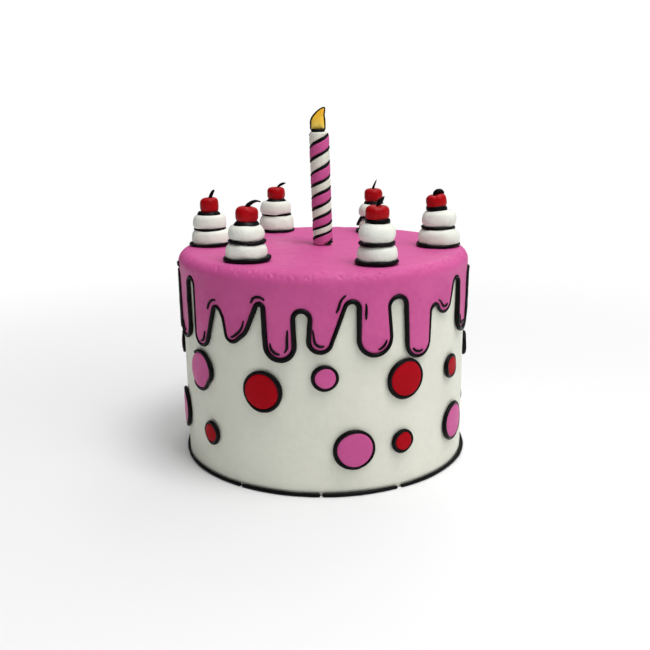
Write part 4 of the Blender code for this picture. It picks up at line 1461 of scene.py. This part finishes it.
@dataclass(frozen=True)
class CreamDollop:
    """A two-tiered cream dollop with a red fruit on top.

    The heights are those of the tiers' meeting, of the upper tier's top and of the fruit's top.
    """

    number: int
    place: Flat
    heights: tuple[float, float, float]
    foot: Cord
    lower: Tier
    crease: Cord
    upper: Tier
    seat: Seat
    fruit: Fruit
    stalk: tuple[tuple[float, float, float], ...]
    sides: int = 72
    ring_points: int = 84
    curl_width: float = 0.35
    drop_width: float = 0.28
    dimple_depth: float = 0.16
    dimple_width: float = 0.30
    cleft_width: float = 0.20

    def lifted(self, spot: Vector) -> Vector:
        """Returns a point of the dollop's own frame put on the cake."""
        return Vector((*self.place, CAKE_HEIGHT + GAP)) + spot

    def squashed(self, tier: Tier, low: float, high: float, seed: float) -> Mesh:
        """Presses one squashed, slightly dented tier.

        Args:
            tier: Its shape.
            low: Where it starts.
            high: Where it ends.
            seed: Sets its dents.

        Returns:
            Its mesh.
        """
        bulge = (high - low) * tier.roundness
        middle, half = (low + high) / 2, (high - low) / 2
        profile = [(0.0, high), ((tier.width / 2 - bulge) * 0.55, high)]
        steps = 22
        for step in range(steps + 1):
            lean = math.pi / 2 - math.pi * step / steps
            out = bulge * abs(math.cos(lean)) ** 0.80
            up = half * math.copysign(abs(math.sin(lean)) ** 0.86, math.sin(lean))
            profile.append((tier.width / 2 - bulge + out, middle + up))
        profile += [((tier.width / 2 - bulge) * 0.55, low), (0.0, low)]
        mesh = lathe("tier", profile, self.sides)
        for vertex in mesh.vertices:
            spot = vertex.co.copy()
            angle = math.atan2(spot.y, spot.x)
            swell = 1.0 + 0.014 * math.sin(2 * angle + seed) + 0.010 * math.sin(3 * angle + 2.3 * seed)
            level = (spot.z - middle) / half
            swell *= 1.0 - 0.05 * level
            spot.x = spot.x * swell + tier.shift + tier.lean * level
            spot.y *= swell
            dents = ripple(spot, 130.0, seed) * 0.0005 + ripple(spot, 320.0, seed + 5) * 0.00014
            away = Vector((math.cos(angle), math.sin(angle), level)).normalized()
            spot += away * dents * (1.0 if abs(level) < 0.98 else 0.3)
            vertex.co = self.lifted(spot)
        return mesh

    def ring(self, cord: Cord, height: float, seed: int) -> Run:
        """Lays a closed rope round the dollop.

        Args:
            cord: The rope.
            height: The height of its centreline.
            seed: Sets its waves.

        Returns:
            The run, ready to roll.
        """
        phase = random.Random(seed * 10 + self.number).uniform(0.0, 2 * math.pi)
        reach = cord.width / 2 - cord.thick
        points, radii = [], []
        for step in range(self.ring_points):
            angle = 2 * math.pi * step / self.ring_points
            off_right = angle if angle < math.pi else angle - 2 * math.pi
            lumps = 0.12 * math.sin(angle * 2 + phase), 0.07 * math.sin(5 * angle + phase)
            size = cord.thick * (1.0 + lumps[0] + lumps[1])
            out = reach * (1.0 + 0.012 * math.sin(3 * angle + phase) + 0.008 * math.sin(4 * angle))
            wave = 0.00022 * math.sin(3 * angle + 2 * phase)
            up = height + cord.raised + wave + cord.slant * math.cos(angle)
            up += cord.curl * math.exp(-(off_right / self.curl_width) ** 2)
            hang = cord.drop * math.exp(-((angle - math.pi) / self.drop_width) ** 2)
            up, out = up - hang, out + hang * 0.35
            spot = Vector((out * math.cos(angle) + cord.shift, out * math.sin(angle), max(up, size)))
            points.append(self.lifted(spot))
            radii.append(size)
        return along(points, radii, 0.0007, closed=True)

    def flared_seat(self) -> Mesh:
        """Shapes the flat seat that the fruit sits in, wider at its foot.

        Returns:
            Its mesh.
        """
        seat, low, steps = self.seat, self.heights[1] - 0.0007, 12
        profile = [(0.0, low + seat.tall)]
        for step in range(steps + 1):
            lean = math.pi / 2 - math.pi * step / steps
            level = (math.sin(lean) + 1) / 2
            out = seat.width / 2 - seat.tall * 0.18 * (1 - abs(math.cos(lean)) ** 0.8) - seat.flare * level
            profile.append((out, low + seat.tall * level))
        profile.append((0.0, low))
        mesh = lathe("seat", profile, self.sides)
        for vertex in mesh.vertices:
            spot = vertex.co.copy()
            angle = math.atan2(spot.y, spot.x)
            spot *= 1.0 + 0.015 * math.sin(2 * angle + self.number) + 0.010 * math.sin(5 * angle)
            spot.z = vertex.co.z + 0.0003 * math.sin(3 * angle + self.number * 1.7)
            spot.x += seat.shift
            vertex.co = self.lifted(spot)
        return mesh

    def berry(self) -> Mesh:
        """Shapes the fruit: boxy and round, with a shallow dimple, and a cleft where it has one.

        Returns:
            Its mesh.
        """
        _, low, high = self.heights
        half, middle = (high - low) / 2, (high + low) / 2
        fruit, wide = self.fruit, self.fruit.width / 2
        steps, profile = 30, [(0.0, 1.0)]
        for step in range(1, steps):
            lean = math.pi / 2 - math.pi * step / steps
            up = math.copysign(abs(math.sin(lean)) ** 0.62, math.sin(lean))
            profile.append((abs(math.cos(lean)) ** 0.50, up))
        profile.append((0.0, -1.0))
        mesh = lathe("berry", profile, self.sides)
        tilt = Matrix.Rotation(math.radians(-fruit.tilt), 3, "Y")
        for vertex in mesh.vertices:
            spot = vertex.co.copy()
            angle = math.atan2(spot.y, spot.x)
            reach = math.hypot(spot.x, spot.y)
            dimple = self.dimple_depth * math.exp(-(reach / self.dimple_width) ** 2)
            cleft = fruit.cleft * math.exp(-((spot.x - fruit.cleft_place) / self.cleft_width) ** 2)
            cleft *= smoothstep(-0.6, 1.0, spot.z)
            taper = 1.0 - fruit.taper * smoothstep(0.2, 1.0, -spot.z)
            swell = taper * (1.0 + 0.018 * math.sin(2 * angle) + 0.012 * math.sin(3 * angle + self.number))
            up = spot.z - (dimple if spot.z > 0 else 0.0) - cleft
            fall = smoothstep(-0.2, 1.0, math.copysign(spot.x, spot.x * fruit.slope))
            up -= abs(fruit.slope) * fall * smoothstep(-0.5, 1.0, spot.z)
            shaped = Vector((spot.x * wide * swell, spot.y * wide * swell, up * half))
            shaped *= 1.0 - 0.35 * cleft * smoothstep(0.0, 1.0, reach)
            shaped += shaped.normalized() * ripple(shaped, 190.0, self.number) * 0.00025
            vertex.co = self.lifted(tilt @ shaped + Vector((fruit.shift, 0.0, middle)))
        return mesh

    def stem(self) -> Run:
        """Lays the stalk through its own points (reach, rise, radius) from the fruit's dimple.

        Returns:
            The run, ready to roll.
        """
        _, low, high = self.heights
        foot = Vector((self.fruit.shift, 0.0, low + (high - low) * 0.80))
        marks = [(self.stalk[0][0] * 0.6, -0.0006, self.stalk[0][2]), *self.stalk]
        points, radii = [], []
        fine = 6
        for index in range(len(marks) - 1):
            before, start = Vector(marks[max(index - 1, 0)]), Vector(marks[index])
            end, after = Vector(marks[index + 1]), Vector(marks[min(index + 2, len(marks) - 1)])
            for step in range(fine + (1 if index == len(marks) - 2 else 0)):
                spot = eased(before, start, end, after, step / fine)
                points.append(self.lifted(foot + Vector((spot.x, 0.0, spot.y))))
                radii.append(max(spot.z, 0.0002))
        return along(points, radii, 0.0005)

    def build(self, pantry: Pantry) -> None:
        """Makes every piece of the dollop.

        Args:
            pantry: Finishes and serves them.
        """
        name, number = f"dollop_{self.number}_", self.number
        meet, top, _ = self.heights
        foot = self.ring(self.foot, self.foot.thick, 1)
        pantry.roll(name + "foot_cord", [foot], Rolling(number, 0.0005, 170.0), name + "foot_rope")
        lower = self.squashed(self.lower, 0.0004, meet + 0.0003, number * 1.3)
        pantry.serve(name + "lower_cream", lower, Finish.CREAM, name + "lower_tier")
        upper = self.squashed(self.upper, meet + 0.0005, top, number * 2.1 + 1)
        pantry.serve(name + "upper_cream", upper, Finish.CREAM, name + "upper_tier")
        crease = self.ring(self.crease, meet + 0.0004, 2)
        pantry.roll(name + "crease", [crease], Rolling(number + 20.0, 0.0004, 170.0))
        pantry.serve(name + "seat", self.flared_seat(), Finish.BLACK)
        pantry.serve(name + "berry", self.berry(), Finish.FRUIT, name + "fruit")
        pantry.roll(name + "stalk", [self.stem()], Rolling(number + 40.0, 0.0002, 400.0))


DOLLOPS = (
    CreamDollop(1, (-0.0514, -0.0601), (0.0126, 0.0247, 0.0367), Cord(0.0327, 0.0015, curl=0.0010),
                Tier(0.0283, -0.0005), Cord(0.0257, 0.00135, slant=-0.0006, curl=0.0006),
                Tier(0.0246, -0.0004, 0.60), Seat(0.0182, 0.0030, flare=0.0022),
                Fruit(0.0154, 0.0005, slope=0.12),
                ((0.0004, 0.0020, 0.0015), (0.0028, 0.0042, 0.0013), (0.0062, 0.0056, 0.0009),
                 (0.0098, 0.0050, 0.0003))),
    CreamDollop(2, (0.0352, -0.0756), (0.0130, 0.0274, 0.0384), Cord(0.0292, 0.00145), Tier(0.0263, 0.0005),
                Cord(0.0248, 0.00125, 0.0002), Tier(0.0250, 0.0004, 0.62),
                Seat(0.0167, 0.0030, 0.0006, 0.0004), Fruit(0.0158, 0.0002, cleft=0.06),
                ((0.0002, 0.0020, 0.0009), (0.0014, 0.0040, 0.0019), (0.0030, 0.0058, 0.0013),
                 (0.0046, 0.0078, 0.0003))),
    CreamDollop(3, (0.0848, -0.0051), (0.0133, 0.0265, 0.0378), Cord(0.0322, 0.0012), Tier(0.0305, 0.00065),
                Cord(0.0253, 0.00105), Tier(0.0250, 0.0007, 0.55, 0.0005),
                Seat(0.0158, 0.0036, -0.0014, 0.0004), Fruit(0.0148, -0.0018, 11.0, 0.06, -0.1),
                ((-0.0012, 0.0022, 0.0016), (0.0004, 0.0038, 0.0020), (0.0030, 0.0040, 0.0019),
                 (0.0056, 0.0026, 0.0007))),
    CreamDollop(4, (0.0419, 0.0689), (0.0116, 0.0229, 0.0351), Cord(0.0304, 0.00100), Tier(0.0264, 0.0008),
                Cord(0.0247, 0.0011, drop=0.0062), Tier(0.0247), Seat(0.0168, 0.0028, -0.0004),
                Fruit(0.0147, -0.0006),
                ((-0.0004, 0.0020, 0.0011), (0.0004, 0.0044, 0.0009), (0.0014, 0.0070, 0.0007),
                 (0.0026, 0.0096, 0.0002))),
    CreamDollop(5, (-0.0385, 0.0784), (0.0135, 0.0246, 0.0360), Cord(0.0296, 0.00095),
                Tier(0.0282, 0.0002, 0.34), Cord(0.0242, 0.00105), Tier(0.0256, -0.0006, 0.36),
                Seat(0.0177, 0.0028, flare=0.0022), Fruit(0.0146, 0.0002),
                ((0.0014, 0.0022, 0.0007), (0.0030, 0.0036, 0.0010), (0.0054, 0.0048, 0.0011),
                 (0.0080, 0.0054, 0.0003))),
    CreamDollop(6, (-0.0855, 0.0080), (0.01175, 0.0228, 0.03555),
                Cord(0.0326, 0.00105, 0.0012, 0.0005, raised=0.0004), Tier(0.0294, 0.0020, 0.34),
                Cord(0.0246, 0.00125, 0.0009), Tier(0.0244, 0.0006, 0.34),
                Seat(0.0184, 0.0030, 0.0003, 0.0016), Fruit(0.0138, 0.0008, cleft_place=-0.25, slope=-0.12),
                ((0.0010, 0.0020, 0.0014), (0.0018, 0.0042, 0.0013), (0.0030, 0.0064, 0.0011),
                 (0.0042, 0.0080, 0.0007))),
)


@dataclass
class TwistedCandle:
    """The candle: two strands wound together with black lines between them, and a sugar flame."""

    rise: float = CAKE_HEIGHT + GAP + abs(math.sin(CANDLE_LEAN)) * (STRAND_RADIUS + 0.002)
    rows: int = 260
    arc: int = 26
    groove_depth: float = 0.0016
    groove_width: float = 0.0026
    white_share: float = 0.97
    inner: float = 0.0002
    line_reach: float = 0.0062
    outline_points: int = 98
    flame_base: float = CANDLE_HEIGHT + COLLAR_HEIGHT + 2 * GAP + FLAME_ROPE
    ring_points: int = 48

    def upright(self, spot: Vector) -> Vector:
        """Returns a point of the candle's own frame, leant and put in the middle of the cake."""
        lean = Matrix.Rotation(CANDLE_LEAN, 3, "Y")
        return Vector((*CANDLE_PLACE, self.rise)) + lean @ spot

    def twist(self, height: float) -> float:
        """Finds the candle's twist at a height.

        Args:
            height: The height up the candle.

        Returns:
            The twist in radians, nought where the pink strand faces the front.
        """
        marks = LINES_CROSS_AT
        low = 0
        while low < len(marks) - 2 and height > marks[low + 1]:
            low += 1
        return math.pi * (low - 0.5 + (height - marks[low]) / (marks[low + 1] - marks[low]))

    def smooth_twist(self, height: float, blur: float = 0.003) -> float:
        """Returns the twist averaged over a short length, so that its pitch changes gently."""
        return sum(self.twist(height + blur * step / 3) for step in range(-3, 4)) / 7

    def strand(self, name: str, size: float, turn: float) -> Mesh:
        """Draws out one bulging strand, half of the candle.

        Args:
            name: The mesh's name.
            size: How far out it bulges.
            turn: Where its middle starts, round the candle.

        Returns:
            Its mesh.
        """
        points, faces = [], []
        ring, half = self.arc + 2, math.pi / 2
        for row in range(self.rows + 1):
            height = CANDLE_HEIGHT * row / self.rows
            end = min(height, CANDLE_HEIGHT - height) / 0.0012
            shrink = 0.93 + 0.07 * math.sqrt(max(1 - (1 - min(end, 1.0)) ** 2, 0.0))
            facing = self.smooth_twist(height) + turn
            points.append(Vector((self.inner * math.sin(facing), -self.inner * math.cos(facing), height)))
            for step in range(self.arc + 1):
                angle = facing - half + 2 * half * step / self.arc
                from_edge = min(step, self.arc - step) / self.arc * 2 * half * size
                radius = size - self.groove_depth * math.exp(-(from_edge / self.groove_width) ** 1.6)
                spot = Vector((math.sin(angle), -math.cos(angle), 0.0)) * radius * shrink
                spot.z = height
                spot *= 1.0 + 0.012 * ripple(spot, 90.0, turn)
                spot.z = height
                points.append(spot)
        for row in range(self.rows):
            for step in range(ring):
                after = (step + 1) % ring
                low, high = row * ring, (row + 1) * ring
                faces.append((low + step, low + after, high + after, high + step))
        faces.append(tuple(reversed(range(ring))))
        faces.append(tuple(self.rows * ring + step for step in range(ring)))
        mesh = bpy.data.meshes.new(name)
        mesh.from_pydata([self.upright(point) for point in points], [], faces)
        return mesh

    def line(self, turn: float) -> Run:
        """Winds a black line up the groove between the strands.

        Args:
            turn: Where the groove starts, round the candle.

        Returns:
            The run, ready to roll.
        """
        low, high = STRAND_ROPE * 1.1, CANDLE_HEIGHT - STRAND_ROPE * 1.1
        points, radii = [], []
        count = 240
        for step in range(count + 1):
            height = low + (high - low) * step / count
            angle = self.smooth_twist(height) + turn
            reach = self.line_reach
            points.append(self.upright(Vector((reach * math.sin(angle), -reach * math.cos(angle), height))))
            radii.append(STRAND_ROPE * (1.0 + 0.12 * math.sin(height * 700 + turn)))
        return along(points, radii, 0.0007)

    def rounded_outline(self, grow: float = 0.0) -> list[Vector]:
        """Draws the flame's outline as a smooth closed curve.

        Args:
            grow: How far outside the outline it runs.

        Returns:
            Its points in the flame's plane.
        """
        middle, corners = Vector(FLAME_MIDDLE), [Vector(spot) for spot in FLAME_OUTLINE]
        count = len(corners)
        points = []
        for step in range(self.outline_points):
            place = step * count / self.outline_points
            index, share = int(place), place - int(place)
            before, start = corners[index - 1], corners[index]
            end, after = corners[(index + 1) % count], corners[(index + 2) % count]
            if index == FLAME_TIP:
                before = start * 2 - end
            if index == FLAME_TIP - 1:
                after = end * 2 - start
            spot = eased(before, start, end, after, share)
            points.append(spot + (spot - middle).normalized() * grow)
        return points

    def flame(self) -> Mesh:
        """Fills the outline with a cushioned flame.

        Returns:
            Its mesh.
        """
        outline, middle = self.rounded_outline(), Vector(FLAME_MIDDLE)
        thick, layers = FLAME_DEPTH * 0.8, 24
        points = [Vector((middle.x, -thick, middle.y))]
        for layer in range(1, layers):
            lean = math.pi * layer / layers
            share, depth = math.sin(lean) ** 0.75, math.copysign(abs(math.cos(lean)) ** 0.8, math.cos(lean))
            for spot in outline:
                flat = middle + (spot - middle) * share
                points.append(Vector((flat.x, -depth * thick, flat.y)))
        points.append(Vector((middle.x, thick, middle.y)))
        raised = [self.upright(point + Vector((0.0, 0.0, self.flame_base))) for point in points]
        return fanned("sugar_flame", raised, len(outline))

    def flame_rope(self) -> Run:
        """Lays the thin rope up one side of the flame, over its point and down the other.

        Returns:
            The run, ready to roll.
        """
        outline = self.rounded_outline(FLAME_ROPE * 0.9)
        each = self.outline_points // len(FLAME_OUTLINE)
        spots = [outline[step] for step in range(-2 * each, 10 * each + 1)]
        points = [self.upright(Vector((spot.x, 0.0, spot.y + self.flame_base))) for spot in spots]
        return along(points, [FLAME_ROPE * 1.05] * len(points), 0.0004)

    def collar(self) -> Run:
        """Rolls the black collar under the flame, a fat closed ring.

        Returns:
            The run, ready to roll.
        """
        thick = COLLAR_HEIGHT / 2
        reach = COLLAR_RADIUS - thick
        points = []
        for step in range(self.ring_points):
            angle = 2 * math.pi * step / self.ring_points
            spot = Vector((reach * math.cos(angle) - 0.0006, reach * math.sin(angle), CANDLE_HEIGHT + thick))
            points.append(self.upright(spot))
        return points, [thick] * self.ring_points, True

    def foot_line(self) -> Run:
        """Lays the short rope round part of the candle's foot.

        Returns:
            The run, ready to roll.
        """
        reach = STRAND_RADIUS + 0.0001
        points, radii = [], []
        for step in range(25):
            angle = math.radians(12.0 + 68.0 * step / 24)
            height = 0.0007 + 0.0012 * smoothstep(6, 24, step)
            points.append(self.upright(Vector((reach * math.sin(angle), -reach * math.cos(angle), height))))
            radii.append(0.0004 + 0.0003 * math.sin(math.pi * step / 24))
        return along(points, radii, 0.0005)

    def build(self, pantry: Pantry) -> None:
        """Makes every piece of the candle.

        Args:
            pantry: Finishes and serves them.
        """
        pink = self.strand("pink_strand", STRAND_RADIUS, 0.0)
        pantry.serve("pink_strand", pink, Finish.PINK, "candle_strand_pink")
        white = self.strand("white_strand", STRAND_RADIUS * self.white_share, math.pi)
        pantry.serve("white_strand", white, Finish.WHITE, "candle_strand_white")
        for number, turn in ((1, math.pi / 2), (2, -math.pi / 2)):
            pantry.roll(f"candle_winding_{number}", [self.line(turn)], Rolling(60.0 + number, 0.0003, 220.0),
                        f"candle_line_{number}")
        pantry.roll("flame_collar", [self.collar()], Rolling(63.0, 0.0002, 300.0, 16), "candle_collar")
        pantry.serve("sugar_flame", self.flame(), Finish.FLAME, "candle_flame")
        pantry.roll("flame_edge", [self.flame_rope()], Rolling(64.0, 0.00015, 400.0, 10),
                    "candle_flame_outline")
        pantry.roll("candle_foot_cord", [self.foot_line()], Rolling(65.0, 0.0002, 400.0, 10),
                    "candle_foot_line")


@dataclass
class Studio:
    """The plain pale floor, the soft light and the camera."""

    floor_size: float = 40.0
    floor_tone: Colour = (0.90, 0.90, 0.91)
    fade_from: float = 0.16
    fade_to: float = 0.75
    sky_tone: Colour = (1.0, 1.0, 1.0)
    sky_base: float = 0.10
    sky_top: float = 1.00
    sky_tilt: float = 0.42
    sky_dark: float = 0.15
    backdrop: float = 1.0

    def floor(self) -> None:
        """Lays the floor, which the camera sees fade into the white backdrop away from the cake."""
        half = self.floor_size / 2
        mesh = bpy.data.meshes.new("studio_floor")
        mesh.from_pydata([(-half, -half, 0.0), (half, -half, 0.0), (half, half, 0.0), (-half, half, 0.0)], [],
                         [(0, 1, 2, 3)])
        material, tree, shader = new_material("studio_floor")
        feed(tree, shader, Base_Color=(*self.floor_tone, 1.0), Roughness=0.75)
        reach = feed(tree, add_node(tree, "ShaderNodeVectorMath", (-700, -300), operation="LENGTH"),
                     Vector=add_node(tree, "ShaderNodeTexCoord", (-900, -300)).outputs["Object"])
        fade = ranged(tree, (-500, -300), Value=reach.outputs["Value"], From_Min=self.fade_from,
                      From_Max=self.fade_to)
        seen = add_node(tree, "ShaderNodeLightPath", (-500, -600)).outputs["Is Camera Ray"]
        white = feed(tree, add_node(tree, "ShaderNodeEmission", (-200, -500)), Color=(*self.sky_tone, 1.0),
                     Strength=self.backdrop)
        mix = feed(tree, add_node(tree, "ShaderNodeMixShader", (200, 0)), at_1=shader.outputs[0],
                   at_0=maths(tree, "MULTIPLY", (-200, -300), fade, seen), at_2=white.outputs[0])
        feed(tree, tree.nodes["Material Output"], Surface=mix.outputs[0])
        mesh.materials.append(material)
        placed("studio_floor", mesh)

    def lamp(self, name: str, place: tuple[float, float, float], size: float, power: float,
             aim: tuple[float, float, float] = (0.0, 0.0, 0.10)) -> None:
        """Hangs a square soft light.

        Args:
            name: Its name.
            place: Where it hangs.
            size: Its width.
            power: Its power in watts.
            aim: What it points at.
        """
        light = bpy.data.lights.new(name, "AREA")
        light.size, light.energy = size, power
        lamp = placed(name, light)
        lamp.location = place
        lamp.rotation_euler = (Vector(aim) - Vector(place)).to_track_quat("-Z", "Y").to_euler()

    def sky(self) -> None:
        """Sets the even light all round."""
        world = bpy.data.worlds.new("studio_sky")
        world.use_nodes = True
        tree = world.node_tree
        glow = tree.nodes["Background"]
        towards = feed(tree, add_node(tree, "ShaderNodeSeparateXYZ", (-900, 0)),
                       Vector=add_node(tree, "ShaderNodeTexCoord", (-1100, 0)).outputs["Generated"]).outputs
        overhead = maths(tree, "MAXIMUM", (-700, 0), towards["Z"], 0.0)
        bright = maths(tree, "MULTIPLY_ADD", (-400, 0), maths(tree, "POWER", (-550, 0), overhead, 2.0),
                       self.sky_top, self.sky_base)
        sideways = maths(tree, "MULTIPLY_ADD", (-400, -200), towards["X"], self.sky_tilt, 1.0)
        shade = ranged(tree, (-400, -400), Value=towards["X"], From_Min=-0.95, From_Max=-0.15,
                       To_Min=self.sky_dark, To_Max=1.0)
        uneven = maths(tree, "MULTIPLY", (-200, -200), sideways, shade)
        feed(tree, glow, Color=(*self.sky_tone, 1.0),
             Strength=maths(tree, "MULTIPLY", (-200, 0), bright, uneven))
        plain = feed(tree, add_node(tree, "ShaderNodeBackground", (0, -200)), Color=(*self.sky_tone, 1.0),
                     Strength=self.backdrop)
        seen = feed(tree, add_node(tree, "ShaderNodeMixShader", (250, 0)), at_1=glow.outputs[0],
                    at_0=add_node(tree, "ShaderNodeLightPath", (0, 300)).outputs["Is Camera Ray"],
                    at_2=plain.outputs[0])
        feed(tree, tree.nodes["World Output"], Surface=seen.outputs[0])
        bpy.context.scene.world = world

    def camera(self) -> None:
        """Sets the camera where the photograph was taken from."""
        level = math.cos(CAMERA_PITCH)
        ahead = Vector((math.sin(CAMERA_YAW) * level, math.cos(CAMERA_YAW) * level, -math.sin(CAMERA_PITCH)))
        right = ahead.cross(Vector((0.0, 0.0, 1.0))).normalized()
        up = right.cross(ahead)
        turned_right = right * math.cos(CAMERA_ROLL) + up * math.sin(CAMERA_ROLL)
        turned_up = up * math.cos(CAMERA_ROLL) - right * math.sin(CAMERA_ROLL)
        data = bpy.data.cameras.new("photograph_view")
        data.lens, data.sensor_width = CAMERA_LENS, CAMERA_SENSOR
        data.clip_start, data.clip_end = 0.01, 50.0
        camera = placed("photograph_view", data)
        facing = Matrix((turned_right, turned_up, -ahead)).transposed()
        camera.matrix_world = Matrix.Translation(CAMERA_PLACE) @ facing.to_4x4()
        bpy.context.scene.camera = camera

    def build(self) -> None:
        """Sets up the whole studio."""
        self.floor()
        self.sky()
        self.lamp("key_light", (0.85, -0.75, 1.15), 0.7, 3.7)
        self.lamp("top_light", (0.35, -0.35, 1.5), 0.6, 10.0)
        self.lamp("rim_light", (0.3, 0.9, 1.1), 0.6, 2.0)
        self.camera()
        bpy.context.scene.view_settings.view_transform = "Standard"


def main() -> None:
    """Builds the studio and the cake from the foot up."""
    logging.basicConfig(level=logging.INFO, format="%(name)s: %(message)s")
    Studio().build()
    pantry, icing = Pantry(), DrippingIcing(DripLine())
    for part in (CoveredCake(), icing, WallDots(), FootRopes(), *DOLLOPS, TwistedCandle()):
        part.build(pantry)


if __name__ == "__main__":
    main()
